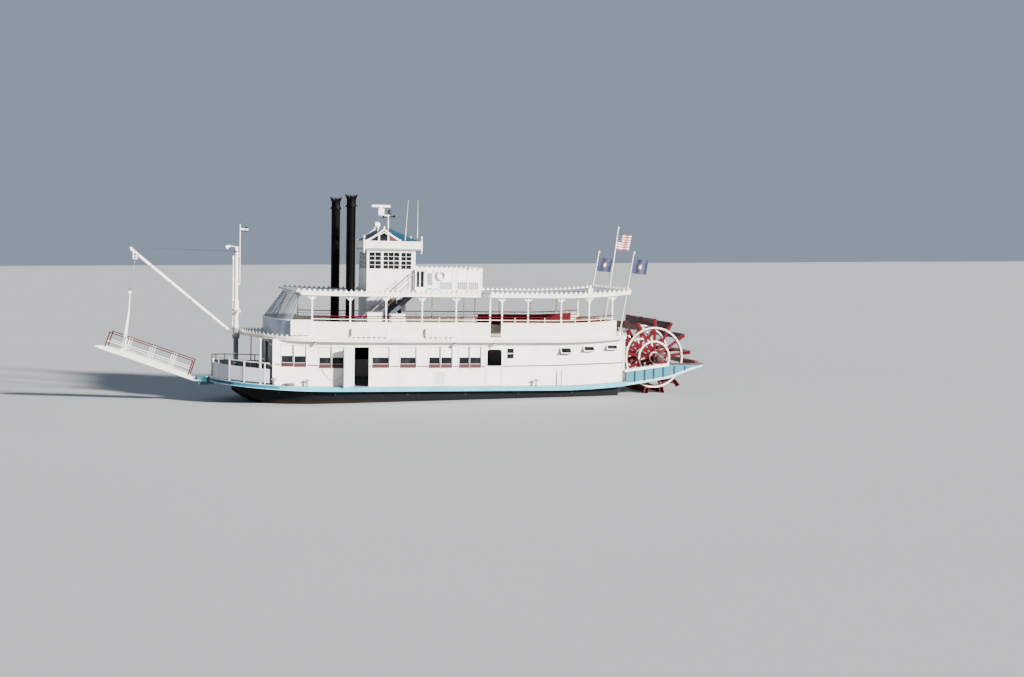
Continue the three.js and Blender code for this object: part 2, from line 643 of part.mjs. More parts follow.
// Smoke stack, open at the top, with a flared crown
function stack(side) {
  const { radius, wall, sides } = STACK;
  const foot = FLOOR_TOP + lift(STACK.x + radius) + SEAT;
  const rim = radius + CROWN.flare;
  const tube = turned([[0, foot], [radius, foot], [radius, 10850], [radius + 60, 10880], [radius + 60, 10940],
    [radius, 10970], [radius, CROWN.foot], [rim, CROWN.top], [rim - wall, CROWN.top],
    [radius - wall, CROWN.foot], [radius - wall, 10400], [0, 10400]], sides, 0, 0);
  const over = CROWN.top + 40;
  const notchHalf = CROWN.notchHalf * (over - CROWN.notch) / (CROWN.top - CROWN.notch);
  const notches = Array.from({ length: CROWN.leaves }, (_, i) => sidePlate(
    [[-notchHalf, over], [notchHalf, over], [0, CROWN.notch]], radius / 2, rim * 2,
  ).rotateZ(i * TURN / CROWN.leaves));
  return cut(tube, ...notches).translate(STACK.x, side * STACK.y, 0);
}

// Rail round the deck behind the pilothouse
const RAIL_DECK = { forward: 760, aft: -2860, top: 7690 };
const RAIL_DECK_OPENINGS = { along: [[590, 730], [340, 520]], heights: [6750, 7600] };

function roofRailing() {
  const { forward, aft, top } = RAIL_DECK;
  const half = RAIL_DECK_HALF;
  const route = [[forward, half], [aft, half], [aft, -half], [forward, -half]];
  const openings = RAIL_DECK_OPENINGS.along.map((along) => block(along, [-half - 50, half + 50],
    RAIL_DECK_OPENINGS.heights));
  return cut(wallAlong(route, 45, CANOPY_TOP + SEAT, top), ...openings);
}

// Stair from the upper deck through the canopy, with a handrail on each side
const STAIR = { foot: 3750, top: 1000, inner: 1500, outer: 2200, treads: 9, plate: 40, treadHalf: 120 };
const STAIR_RAIL = { post: 20, bar: 22, lowX: 3600, low: [4180, 5150], highX: 1030, high: [6400, 7480] };

function roofStair() {
  const run = STAIR.foot - STAIR.top;
  const rise = CANOPY_TOP - FLOOR_TOP;
  const floor = FLOOR_TOP + SEAT;
  const stringer = (y) => sidePlate([[STAIR.foot, floor], [STAIR.foot - 320, floor],
    [STAIR.top, CANOPY_TOP - 240], [STAIR.top, CANOPY_TOP + 20]], y, y + STAIR.plate);
  const treads = Array.from({ length: STAIR.treads }, (_, i) => {
    const share = (i + 0.6) / STAIR.treads;
    const x = STAIR.foot - STAIR.treadHalf - run * share * 0.96;
    const z = FLOOR_TOP + rise * share * 0.96;
    return block([x - STAIR.treadHalf, x + STAIR.treadHalf], [STAIR.inner + 20, STAIR.outer - 20],
      [z - 20, z + 20]);
  });
  return join(stringer(STAIR.inner), stringer(STAIR.outer - STAIR.plate), ...treads);
}

// A handrail against the face of a stringer at y, on its outer side
function stairRail(face, side) {
  const { post: radius, lowX, low, highX, high } = STAIR_RAIL;
  const y = face + side * (radius + SEAT);
  const posts = [bar([lowX, y, low[0]], [lowX, y, low[1]], radius),
    bar([highX, y, high[0]], [highX, y, high[1]], radius)];
  const handrail = bar([lowX + 20, y, low[1] - 20], [highX - 20, y, high[1]], STAIR_RAIL.bar);
  const middle = bar([lowX, y, low[1] - 480], [highX, y, high[1] - 480], STAIR_RAIL.bar - 6);
  return join(...posts, handrail, middle);
}

// Long bench inside the bulwark, with its back
const BENCH = { aft: -9300, forward: -3750, seat: 4540 };

function bench() {
  const places = placesBetween(BENCH.aft, BENCH.forward);
  const part = (y0, y1, z0, z1) => loft(places.map((x) => [[x, y0, z0 + lift(x)], [x, y1, z0 + lift(x)],
    [x, y1, z1 + lift(x)], [x, y0, z1 + lift(x)]]));
  const legs = [-9200, -7900, -6600, -5200, -3850].map((x) => block([x - 20, x + 20], [2560, 3000],
    [FLOOR_TOP + Math.max(lift(x - 20), lift(x + 20)) + SEAT, BENCH.seat + lift(x) + 5]));
  return join(part(2540, 2980, BENCH.seat, BENCH.seat + 50), part(2950, 2990, BENCH.seat, 5130), ...legs);
}

// Bulwark round the foredeck, port half
const FOREDECK = { aft: 8570, gap: 620, inset: 90, low: 90, wall: 800, high: 1120 };

function foredeckBulwark() {
  const half = DECK_HALF - FOREDECK.inset;
  const length = DECK.bowLength - FOREDECK.inset;
  const ends = [FOREDECK.aft, DECK.bowCentre + length * Math.sqrt(1 - (FOREDECK.gap / half) ** 2)];
  const places = placesBetween(ends[0], ends[1], [11250]);
  const route = places.map((x) => [x, roundedHalf(half, DECK.bowCentre, length, x)]).toReversed();
  const wall = wallAlong(route, 45, DECK_TOP + FOREDECK.low, DECK_TOP + FOREDECK.wall);
  const rail = wallAlong(route, 45, DECK_TOP + FOREDECK.high - 50, DECK_TOP + FOREDECK.high);
  const posts = route.map(([x, y]) => {
    const inward = y - 24;
    return block([x - 34, x + 30], [inward - 30, inward + 24], [DECK_TOP + lift(x + 34) + SEAT,
      DECK_TOP + lift(x) + FOREDECK.high - 5]);
  });
  return join(wall, rail, ...posts.slice(1, -1));
}

// Mast, with the jackstaff beside it
const JACKSTAFF = { x: 9870, top: 9900, foot: 6700 };

function mast() {
  const foot = DECK_TOP + lift(MAST.x + MAST.radius) + SEAT;
  const lower = bar([MAST.x, 0, foot], [MAST.x, 0, MAST.step], MAST.radius, 16);
  const collar = bar([MAST.x, 0, 5400], [MAST.x, 0, 5480], MAST.radius + 50, 16);
  const upper = bar([MAST.x, 0, MAST.step - 10], [MAST.x, 0, MAST.top], MAST.upperRadius, 12);
  const rest = bar([MAST.x, 0, 3900], [MAST.x, 0, 3990], MAST.radius + 55, 16);
  const headStop = bar([MAST.x, 0, 8330], [MAST.x, 0, 8400], MAST.upperRadius + 35, 12);
  const staff = bar([JACKSTAFF.x, 0, JACKSTAFF.foot], [JACKSTAFF.x, 0, JACKSTAFF.top], 22);
  const clasps = [6760, 8200].map((z) => block([JACKSTAFF.x, MAST.x], [-20, 20], [z, z + 40]));
  return join(lower, collar, upper, rest, headStop, staff, ...clasps);
}

// Boom gear, in a frame at the mast whose +X runs along the boom
const boomGroup = new THREE.Group();
boomGroup.position.set(MAST.x, 0, 0);
boomGroup.rotation.z = BOOM_SWING;
boat.add(boomGroup);

function boomSwivel() {
  const ring = bar([0, 0, 3990 + SEAT], [0, 0, 4460], MAST.radius + 70, 16);
  const lugs = [-1, 1].map((side) => block([150, 350], side > 0 ? [80.4, 128] : [-128, -80.4], [4080, 4380]));
  const cheeks = block([120, 190], [-128, 128], [4080, 4380]);
  return cut(join(ring, cheeks, ...lugs), bar([0, 0, 3900], [0, 0, 4600], MAST.radius + RUNNING, 16));
}

function boomSpar() {
  const spar = bar([BOOM.heelOut, 0, BOOM.heelZ], [BOOM.tipOut, 0, BOOM.tipZ], BOOM.radius, 8);
  const pulley = block([BOOM.tipOut - 330, BOOM.tipOut - 110], [-70, 70], [BOOM.tipZ - 520, BOOM.tipZ - 180]);
  const head = block([BOOM.tipOut - 60, BOOM.tipOut + 40], [-50, 50], [BOOM.tipZ - 60, BOOM.tipZ + 110]);
  return join(spar, pulley, head);
}

function toppingLift() {
  const ring = cut(bar([0, 0, 8400 + SEAT], [0, 0, 8520], MAST.upperRadius + 45, 12),
    bar([0, 0, 8300], [0, 0, 8600], MAST.upperRadius + RUNNING, 12));
  const wire = bar([110, 0, 8470], [BOOM.tipOut - 60 - SEAT, 0, BOOM.tipZ + 85], 14, 6);
  return join(ring, wire);
}

// Where the fall's hook meets the eye on the stage's frame, as [out along the boom, z]
const FALL_HOOK = [5444, 6337.7];

function boomFall() {
  const x = BOOM.tipOut - 220;
  const [hookX, hookZ] = FALL_HOOK;
  const wires = [-30, 30].map((y) => bar([hookX, y, hookZ + 90], [x, y, BOOM.tipZ - 520 - SEAT - 2], 9, 6));
  const hook = block([hookX - 60, hookX + 60], [-55, 55], [hookZ, hookZ + 120]);
  return join(...wires, hook);
}

// Landing stage, in a frame at its heel pin whose +X runs along the stage
const turntableGroup = new THREE.Group();
turntableGroup.position.set(TURNTABLE.x, 0, 0);
turntableGroup.rotation.z = STAGE_SWING;
boat.add(turntableGroup);
const stageGroup = new THREE.Group();
stageGroup.position.set(STAGE.hinge, 0, STAGE.z);
stageGroup.rotation.y = -STAGE.rise;
turntableGroup.add(stageGroup);

function stageTurntable() {
  const [low, high] = TURNTABLE.levels;
  const disc = bar([0, 0, low + SEAT], [0, 0, high], TURNTABLE.radius, 24);
  const arm = block([0, STAGE.hinge - 60], [-300, 300], [low + 25, low + 90]);
  const lugs = [-1, 1].map((side) => block([STAGE.hinge - 120, STAGE.hinge + 40],
    side > 0 ? [240, 300] : [-300, -240], [low + 25, low + 110]));
  const pin = bar([STAGE.hinge, -300, STAGE.z], [STAGE.hinge, 300, STAGE.z], 18, 12);
  return join(disc, arm, ...lugs, pin);
}

const STAGE_TOP = [
  // [along, thickness]
  [30, 100], [500, 220], [2000, 330], [3500, 330], [5000, 190], [STAGE.length, 90],
];
const STANCHIONS = [340, 1380, 2540, 3800, 4800];
const STAGE_RAILS = [980, 530];

function stageDeck() {
  const profile = [[STAGE.length, 0], [60, 0], [60, 20], ...STAGE_TOP];
  const box = sidePlate(profile, -STAGE.halfWidth, STAGE.halfWidth);
  const eye = cut(block([-45, 120], [-240 + SEAT, 240 - SEAT], [-40, 45]),
    bar([0, -400, 0], [0, 400, 0], 18 + 2, 12));
  const rails = [-1, 1].flatMap((side) => {
    const y = side * (STAGE.halfWidth - 30);
    const stanchions = STANCHIONS.map((x) => bar([x, y, 60], [x, y, STAGE_RAILS[0]], 22, 6));
    const runs = STAGE_RAILS.map((height) => bar([300, y, height], [4850, y, height], 24, 6));
    return [...stanchions, ...runs];
  });
  return join(box, eye, ...rails);
}

function stageFrame() {
  const feet = 3950;
  const deck = 330 - (feet - 3500) * (140 / 1500);
  const legs = [-1, 1].map((side) => bar([feet, side * 380, deck + 45], [4325, side * 20, 2340], 45, 8));
  const pads = [-1, 1].map((side) => sidePlate([[feet - 110, deck + 110 * 0.0934 + SEAT],
    [feet + 110, deck - 110 * 0.0934 + SEAT], [feet + 110, deck + 40], [feet - 110, deck + 60]],
  side * 380 - 60, side * 380 + 60));
  const pole = bar([4320, 0, 2300], [4575, 0, 3230], 40, 8);
  const eye = block([4505, 4645], [-50, 50], [3180, 3320]);
  return join(...legs, ...pads, pole, eye);
}

// Stern flags: a pole in its socket, and the flag against the pole
function flagpole({ y, foot, top }) {
  const base = FLOOR_TOP + lift(foot[0] - 70) + SEAT;
  const socket = block([foot[0] - 70, foot[0] + 70], [y - 70, y + 70], [base, base + 220]);
  return join(socket, bar([foot[0], y, base + 60], [top[0], y, top[1]], POLE_RADIUS));
}

function flag({ y, foot, top, flag: [width, height] }) {
  const base = FLOOR_TOP + lift(foot[0] - 70) + SEAT + 60;
  const lean = (top[0] - foot[0]) / (top[1] - base);
  const high = top[1] - FLAG_BELOW_TOP;
  const at = (z) => top[0] + (z - top[1]) * lean - POLE_RADIUS * Math.hypot(1, lean) - SEAT;
  const droop = width * FLAG_DROOP;
  return sidePlate([[at(high), high], [at(high) - width, high - droop],
    [at(high) - width, high - height - droop], [at(high - height), high - height]], y - 8, y + 8);
}

function jackFlag() {
  const x = JACKSTAFF.x - 22 - SEAT;
  return block([x - 420, x], [-6, 6], [9520, 9800]);
}

// Engine, inside the aft end of the house
function engine() {
  return block([-6300, -4500], [-650, 650], [DECK_TOP + SEAT, DECK_TOP + 1250]);
}

// Paddle wheel, in a frame at its axle
const wheelGroup = new THREE.Group();
wheelGroup.position.set(WHEEL.x, 0, WHEEL.z);
boat.add(wheelGroup);

function aroundWheel(geometry, index) {
  return geometry.rotateY(index * TURN / WHEEL.arms);
}

function wheelShaft() {
  const shaft = bar([0, -TIMBER.outer - 60, 0], [0, TIMBER.outer + 60, 0], SHAFT_RADIUS, SHAFT_SIDES);
  const face = TIMBER.inner + 20 - SEAT;
  const collars = [-1, 1].map((side) => bar([0, side * (face - 40), 0], [0, side * face, 0],
    SHAFT_RADIUS + 50, SHAFT_SIDES));
  return join(shaft, ...collars);
}

function wheelRing({ inner, outer, thickness }, y) {
  const shape = new THREE.Shape();
  const hole = new THREE.Path();
  const sides = WHEEL.arms * 2;
  for (let i = 0; i < sides; i += 1) {
    const turn = (i + 0.5) * TURN / sides;
    const draw = (path, radius) => (i === 0 ? path.moveTo(radius * Math.cos(turn), radius * Math.sin(turn))
      : path.lineTo(radius * Math.cos(turn), radius * Math.sin(turn)));
    draw(shape, outer);
    draw(hole, inner);
  }
  shape.closePath();
  hole.closePath();
  shape.holes.push(hole);
  const geometry = new THREE.ExtrudeGeometry(shape, { depth: thickness, bevelEnabled: false });
  return geometry.rotateX(Math.PI / 2).translate(0, y + thickness / 2, 0);
}

function wheelFrame(y, overlap) {
  const hub = bar([0, y - 110, 0], [0, y + 110, 0], 300, 20);
  const rings = RINGS.map((ring) => wheelRing(ring, y));
  const arms = Array.from({ length: WHEEL.arms }, (_, i) => aroundWheel(
    block([-ARM.width / 2, ARM.width / 2 + overlap], [y - ARM.thickness / 2, y + ARM.thickness / 2],
      [200, WHEEL.tip]), i));
  const bore = bar([0, -3000, 0], [0, 3000, 0], SHAFT_RADIUS + SEAT, SHAFT_SIDES);
  return cut(join(hub, ...rings, ...arms), bore);
}

function wheelMidFrame() {
  const face = ARM.width / 2 + SEAT;
  const buckets = Array.from({ length: WHEEL.arms }, (_, i) => aroundWheel(
    block([face, face + BUCKET_THICKNESS], [-WHEEL.halfLength, WHEEL.halfLength],
      [WHEEL.bucketRoot, WHEEL.tip - 10]), i));
  return join(wheelFrame(0, 3), ...buckets);
}

function rudder(side) {
  const y = side * RUDDER.y;
  const stock = bar([RUDDER.x, y, RUDDER.blade[0] + 40], [RUDDER.x, y, DECK_UNDER + lift(RUDDER.x) - 8],
    RUDDER.radius, 10);
  const collar = bar([RUDDER.x, y, RUDDER.bracket[1] + SEAT], [RUDDER.x, y, RUDDER.bracket[1] + 50], 80, 10);
  const blade = block([RUDDER.x - 850, RUDDER.x + 90], [y - 25, y + 25], RUDDER.blade);
  return join(stock, collar, blade);
}

// Doors: each leaf is made shut, in a frame on its hinge line, and swung to where it stands
function doorLeaf(width, foot, head, thickness, heights) {
  const leaf = block([-width, -8], [-LEAF_INSET - thickness, -LEAF_INSET], [foot, head]);
  return join(leaf, ...knuckles(heights));
}

function hingedDoor(name, colour, leaf, [x, y], turn) {
  const hinge = new THREE.Group();
  hinge.position.set(x, y, 0);
  hinge.rotation.z = turn;
  boat.add(hinge);
  piece(name, leaf, colour, hinge);
}

function sideLeaf({ aft, forward, hinges }, head) {
  return doorLeaf(forward - aft - SIDE_DOOR.clearance, DECK_TOP + 12, head, SIDE_DOOR.thickness, hinges);
}

// The boat, from the keel up
piece('hull', hull(), 'black');
piece('main_deck', mainDeck(), 'blue');
piece('stern_frame', sternFrame(), 'white');
const sideWall = houseSide();
piece('house_wall_port', sideWall, 'white');
piece('house_wall_starboard', mirrored(sideWall), 'white');
piece('house_wall_front', houseEnd(HOUSE.front - HOUSE.wall, HOUSE.front, FRONT_DOORWAY.half,
  FRONT_DOORWAY.head), 'white');
piece('house_wall_aft', houseEnd(HOUSE.aftWall, HOUSE.aftWall + HOUSE.wall, 400, 3600), 'white');
piece('engine', engine(), 'steel');
piece('upper_deck', upperDeck(), 'cream');
piece('upper_bulwark', upperBulwark(), 'cream');
piece('canopy_forward', canopyForward(), 'white');
piece('canopy_aft', canopyAft(), 'white');
const rail = upperRail();
piece('upper_rail_port', rail, 'red');
piece('upper_rail_starboard', mirrored(rail), 'red');
piece('front_curtain', frontCurtain(), 'vinyl');
piece('upper_cabin', upperCabin(), 'white');
const pilotSide = pilothouseSide();
piece('pilothouse_wall_port', pilotSide, 'white');
piece('pilothouse_wall_starboard', mirrored(pilotSide), 'white');
piece('pilothouse_wall_front', pilothouseFront(), 'white');
piece('pilothouse_wall_aft', pilothouseAft(), 'white');
piece('pilothouse_roof', pilothouseRoof(), 'teal');
piece('radar_mast', radarMast(), 'white');
piece('radar_scanner', radarScanner(), 'white');
piece('stack_port', stack(1), 'black');
piece('stack_starboard', stack(-1), 'black');
piece('roof_railing', roofRailing(), 'white');
piece('roof_stair', roofStair(), 'white');
piece('stair_rail_inner', stairRail(STAIR.inner, -1), 'white');
piece('stair_rail_outer', stairRail(STAIR.outer, 1), 'white');
const benchBody = bench();
piece('bench_port', benchBody, 'red');
piece('bench_starboard', mirrored(benchBody), 'red');
const foredeck = foredeckBulwark();
piece('foredeck_bulwark_port', foredeck, 'grey');
piece('foredeck_bulwark_starboard', mirrored(foredeck), 'grey');
piece('mast', mast(), 'white');
piece('boom_swivel', boomSwivel(), 'white', boomGroup);
piece('boom', boomSpar(), 'white', boomGroup);
piece('topping_lift', toppingLift(), 'steel', boomGroup);
piece('boom_fall', boomFall(), 'steel', boomGroup);
piece('stage_turntable', stageTurntable(), 'grey', turntableGroup);
piece('stage_deck', stageDeck(), 'white', stageGroup);
piece('stage_frame', stageFrame(), 'white', stageGroup);
for (const pole of FLAGPOLES) {
  piece(`flagpole_${pole.name}`, flagpole(pole), 'white');
  piece(`flag_${pole.name}`, flag(pole), pole.flag[2]);
}
piece('flag_jack', jackFlag(), 'flagBlue');
piece('wheel_shaft', wheelShaft(), 'steel', wheelGroup);
piece('wheel_frame_port', wheelFrame(FRAME_OFFSET, 0), 'red', wheelGroup);
piece('wheel_frame_middle', wheelMidFrame(), 'timber', wheelGroup);
piece('wheel_frame_starboard', wheelFrame(-FRAME_OFFSET, 0), 'red', wheelGroup);
piece('rudder_port', rudder(1), 'black');
piece('rudder_starboard', rudder(-1), 'black');
const doorLine = HOUSE_HALF + HINGE.outset;
const sideDoor = sideLeaf(SIDE_DOOR, SIDE_DOOR.head - 8);
hingedDoor('side_door_port', 'grey', sideDoor, [SIDE_DOOR.forward, doorLine], SIDE_DOOR_OPEN);
hingedDoor('side_door_starboard', 'grey', mirrored(sideDoor), [SIDE_DOOR.forward, -doorLine], 0);
const halfDoor = sideLeaf(HALF_DOOR, HALF_DOOR.leafTop);
hingedDoor('half_door_port', 'grey', halfDoor, [HALF_DOOR.forward, doorLine], 0);
hingedDoor('half_door_starboard', 'grey', mirrored(halfDoor), [HALF_DOOR.forward, -doorLine], 0);
const pilotDoor = doorLeaf(PILOT_DOOR.half * 2 - 6, CANOPY_TOP + 12, PILOT_DOOR.head - 8,
  PILOT_DOOR.thickness, PILOT_DOOR.hinges);
const pilotHinge = [PILOTHOUSE.aft - HINGE.outset, PILOT_DOOR.half];
hingedDoor('pilothouse_door', 'white', pilotDoor, pilotHinge, Math.PI / 2);

export default boat;
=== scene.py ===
"""Looks of the sternwheel paddle boat: finishes, fittings, trim, floor, light and camera, round its frame."""

from __future__ import annotations

import logging
import math
from dataclasses import dataclass, field
from enum import Enum
from typing import Sequence, Union

import bmesh
import bpy
from mathutils import Matrix, Vector


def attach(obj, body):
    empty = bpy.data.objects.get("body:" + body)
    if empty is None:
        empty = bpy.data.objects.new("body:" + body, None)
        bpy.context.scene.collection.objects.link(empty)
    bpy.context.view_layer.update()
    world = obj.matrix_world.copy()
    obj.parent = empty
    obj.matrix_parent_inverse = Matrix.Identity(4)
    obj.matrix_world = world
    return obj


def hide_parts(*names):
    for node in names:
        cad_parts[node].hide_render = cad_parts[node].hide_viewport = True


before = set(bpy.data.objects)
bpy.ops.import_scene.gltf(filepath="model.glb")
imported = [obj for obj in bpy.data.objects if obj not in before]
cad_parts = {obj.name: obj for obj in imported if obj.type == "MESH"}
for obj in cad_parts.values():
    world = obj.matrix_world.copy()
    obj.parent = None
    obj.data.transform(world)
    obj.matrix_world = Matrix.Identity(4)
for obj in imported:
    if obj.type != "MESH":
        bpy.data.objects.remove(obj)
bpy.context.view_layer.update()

LOG = logging.getLogger("paddle_boat")
Colour = tuple[float, float, float]
Point = tuple[float, float, float]
Pair = tuple[float, float]
Line = Sequence[Pair]
TURN = math.tau

# Levels above the hull's bottom, in metres, where the sheer is nought
WATERLINE = 0.8
DECK_TOP = 1.59
FLOOR_UNDER = 3.93
FLOOR_TOP = 4.10
BULWARK_TOP = 4.94
CANOPY_UNDER = 6.30
DECK_HALF = 3.35
HOUSE_HALF = 2.95
FLOOR_HALF = 3.30
BULWARK_HALF = 3.10
CANOPY_HALF = 3.20
CABIN_HALF = 1.35


@dataclass(frozen=True)
class Sheer:
    """The rise of the decks towards both ends, straight between stations."""

    aft_from: float = -6.5
    aft_rise: float = 13.7e-3
    forward_from: float = 4.2
    forward_rise: float = 6.35e-3
    stations: tuple[float, ...] = (-15.5, -13.5, -12.3, -11.4, -10.55, -9.7, -8.6, -7.5, -6.5,
                                   4.2, 5.4, 6.4, 7.6, 8.8, 9.8, 10.5, 11.0, 11.5, 12.5)

    def curve(self, x: float) -> float:
        """The smooth rise at a station."""
        aft = self.aft_rise * max(0.0, self.aft_from - x) ** 2
        return aft + self.forward_rise * max(0.0, x - self.forward_from) ** 2

    def lift(self, x: float) -> float:
        """The rise at any place, on the straight run between the two stations about it.

        Args:
            x: Place along the boat.

        Returns:
            The rise in metres.
        """
        x = min(max(x, self.stations[0]), self.stations[-1])
        for before, after in zip(self.stations, self.stations[1:]):
            if x <= after:
                share = (x - before) / (after - before)
                return self.curve(before) * (1 - share) + self.curve(after) * share
        return self.curve(self.stations[-1])


SHEER = Sheer()


class Measure(Enum):
    """What a painted band is measured by."""

    HEIGHT = "height above the keel"
    LEVEL = "height above the keel, less the sheer"
    ALONG = "place along the boat"
    BREADTH = "distance from the middle line"
    WHEEL = "distance from the wheel's axle"


WHEEL_AXLE = (-12.55, 3.05)

Operand = Union[float, "Value"]


class Value:
    """A number or a colour on its way through a material's nodes, which takes Python's arithmetic."""

    def __init__(self, shader: "Shader", socket: bpy.types.NodeSocket) -> None:
        """Wraps one output socket of the shader's tree."""
        self.shader = shader
        self.socket = socket

    def _math(self, operation: str, first: Operand, second: Operand) -> "Value":
        """One Math node on two operands."""
        return self.shader.node("ShaderNodeMath", {"operation": operation}, {0: first, 1: second})

    def __add__(self, other: Operand) -> "Value":
        """Sum."""
        return self._math("ADD", self, other)

    __radd__ = __add__

    def __mul__(self, other: Operand) -> "Value":
        """Product."""
        return self._math("MULTIPLY", self, other)

    __rmul__ = __mul__

    def __sub__(self, other: Operand) -> "Value":
        """Difference."""
        return self._math("SUBTRACT", self, other)

    def __rsub__(self, other: Operand) -> "Value":
        """Difference from a number."""
        return self._math("SUBTRACT", other, self)

    def __pow__(self, other: Operand) -> "Value":
        """Power."""
        return self._math("POWER", self, other)

    def __abs__(self) -> "Value":
        """Size without sign."""
        return self._math("ABSOLUTE", self, 0.0)

    def modulo(self, other: Operand) -> "Value":
        """Remainder within a repeat, never below nought."""
        return self._math("FLOORED_MODULO", self, other)

    def between(self, low: float, high: float, blur: float = 0.002) -> "Value":
        """One between two values, nought outside, with a soft edge."""
        return self.ramp(low - blur, low) * (1 - self.ramp(high, high + blur))

    def ramp(self, low: float, high: float, start: float = 0.0, end: float = 1.0) -> "Value":
        """Start below low, end above high, straight between.

        Args:
            low: Where the rise starts.
            high: Where it ends.
            start: Result at and below low.
            end: Result at and above high.

        Returns:
            The clamped result.
        """
        inputs = {"Value": self, "From Min": low, "From Max": high, "To Min": start, "To Max": end}
        return self.shader.node("ShaderNodeMapRange", {"clamp": True}, inputs)


class Shader:
    """A material under construction, in the piece's own coordinates."""

    def __init__(self, name: str) -> None:
        """Starts an empty material with a surface shader."""
        self.material = bpy.data.materials.new(name)
        self.material.use_nodes = True
        self.tree = self.material.node_tree
        self.tree.nodes.clear()
        self.output = self.tree.nodes.new("ShaderNodeOutputMaterial")
        self.surface = self.tree.nodes.new("ShaderNodeBsdfPrincipled")
        self.tree.links.new(self.surface.outputs["BSDF"], self.output.inputs["Surface"])
        self.place = self.node("ShaderNodeTexCoord", {}, {}, "Object")
        self.x, self.y, self.z = self.parts(self.place)

    def node(self, kind: str, settings: dict[str, object], inputs: dict[object, object],
             output: object = 0) -> Value:
        """Adds one node.

        Args:
            kind: Blender's name for the node type.
            settings: Attributes that are set first.
            inputs: Socket name or number to a number, colour or Value.
            output: Name or number of the output that is wanted.

        Returns:
            That output.
        """
        made = self.tree.nodes.new(kind)
        for name, setting in settings.items():
            setattr(made, name, setting)
        self.feed(made, inputs)
        return Value(self, made.outputs[output])

    def feed(self, made: bpy.types.Node, inputs: dict[object, object]) -> None:
        """Sets or links a node's inputs."""
        for key, value in inputs.items():
            if isinstance(value, Value):
                self.tree.links.new(value.socket, made.inputs[key])
            else:
                made.inputs[key].default_value = value

    def parts(self, place: Value) -> list[Value]:
        """A vector's three numbers."""
        return [self.node("ShaderNodeSeparateXYZ", {}, {0: place}, k) for k in range(3)]

    def vector(self, x: Operand, y: Operand, z: Operand) -> Value:
        """Three numbers as one vector."""
        return self.node("ShaderNodeCombineXYZ", {}, {0: x, 1: y, 2: z})

    def noise(self, scale: float, stretch: Point = (1.0, 1.0, 1.0), detail: float = 4.0,
              rough: float = 0.55) -> Value:
        """Cloudy noise from 0 to 1, stretched by scaling each axis."""
        at = self.vector(*(axis * k for axis, k in zip((self.x, self.y, self.z), stretch)))
        inputs = {"Vector": at, "Scale": scale, "Detail": detail, "Roughness": rough}
        return self.node("ShaderNodeTexNoise", {}, inputs)

    def mix(self, factor: Operand, first: object, second: object, blend: str = "MIX") -> Value:
        """Blends two colours."""
        settings = {"data_type": "RGBA", "blend_type": blend}
        return self.node("ShaderNodeMix", settings, {0: factor, 6: opaque(first), 7: opaque(second)}, 2)

    def measure(self, kind: Measure) -> Value:
        """The distance that a painted band goes by."""
        if kind is Measure.HEIGHT:
            return self.z
        if kind is Measure.ALONG:
            return self.x
        if kind is Measure.BREADTH:
            return abs(self.y)
        if kind is Measure.WHEEL:
            across, up = self.x - WHEEL_AXLE[0], self.z - WHEEL_AXLE[1]
            return (across * across + up * up) ** 0.5
        aft = self.x.ramp(-16.0, SHEER.aft_from, -16.0 - SHEER.aft_from, 0.0)
        forward = self.x.ramp(SHEER.forward_from, 14.0, 0.0, 14.0 - SHEER.forward_from)
        return self.z - aft * aft * SHEER.aft_rise - forward * forward * SHEER.forward_rise

    def bump(self, height: Value, distance: float, strength: float = 1.0) -> Value:
        """A Bump node's normal."""
        inputs = {"Height": height, "Distance": distance, "Strength": strength}
        return self.node("ShaderNodeBump", {}, inputs, "Normal")

    def finish(self, **inputs: object) -> bpy.types.Material:
        """Feeds the surface shader; an underscore in a name stands for a space.

        Args:
            **inputs: Socket names to values.

        Returns:
            The finished material.
        """
        self.feed(self.surface, {name.replace("_", " "): value for name, value in inputs.items()})
        return self.material


def with_stations(path: Line) -> list[Pair]:
    """A plan path with a point added wherever it crosses a station of the sheer."""
    places = [path[0]]
    for (x0, y0), (x1, y1) in zip(path, path[1:]):
        crossed = [x for x in SHEER.stations if min(x0, x1) + 1e-3 < x < max(x0, x1) - 1e-3]
        for x in sorted(crossed, reverse=x1 < x0):
            places.append((x, y0 + (y1 - y0) * (x - x0) / (x1 - x0)))
        places.append((x1, y1))
    return places


def height_at(line: Line, x: float) -> float:
    """Height of a line of (x, height) points at a place along it, or its last height past its end."""
    for (x0, z0), (x1, z1) in zip(line, line[1:]):
        if min(x0, x1) <= x <= max(x0, x1):
            return z0 + (z1 - z0) * (x - x0) / (x1 - x0)
    return line[-1][1]


def round_about(count: int, radius: float, first: float = 0.0) -> list[Pair]:
    """Places spread evenly on a circle, from its middle, the first at a turn in radians."""
    turns = [TURN * k / count + first for k in range(count)]
    return [(radius * math.cos(turn), radius * math.sin(turn)) for turn in turns]


def facing(along: Vector) -> Matrix:
    """The turn that brings the upright to a direction."""
    return along.to_track_quat("Z", "Y").to_matrix().to_4x4()


def opaque(colour: object) -> object:
    """A colour with its alpha, or a Value as it is."""
    return (*colour, 1.0) if isinstance(colour, tuple) and len(colour) == 3 else colour


@dataclass(frozen=True)
class Zone:
    """A band of another colour, where a measure lies between two values and, if given, another does too."""

    measure: Measure
    low: float
    high: float
    colour: Colour
    also: Measure | None = None
    also_low: float = 0.0
    also_high: float = 0.0

    def mask(self, shader: Shader) -> Value:
        """One inside the band."""
        inside = shader.measure(self.measure).between(self.low, self.high)
        if self.also is None:
            return inside
        return inside * shader.measure(self.also).between(self.also_low, self.also_high)


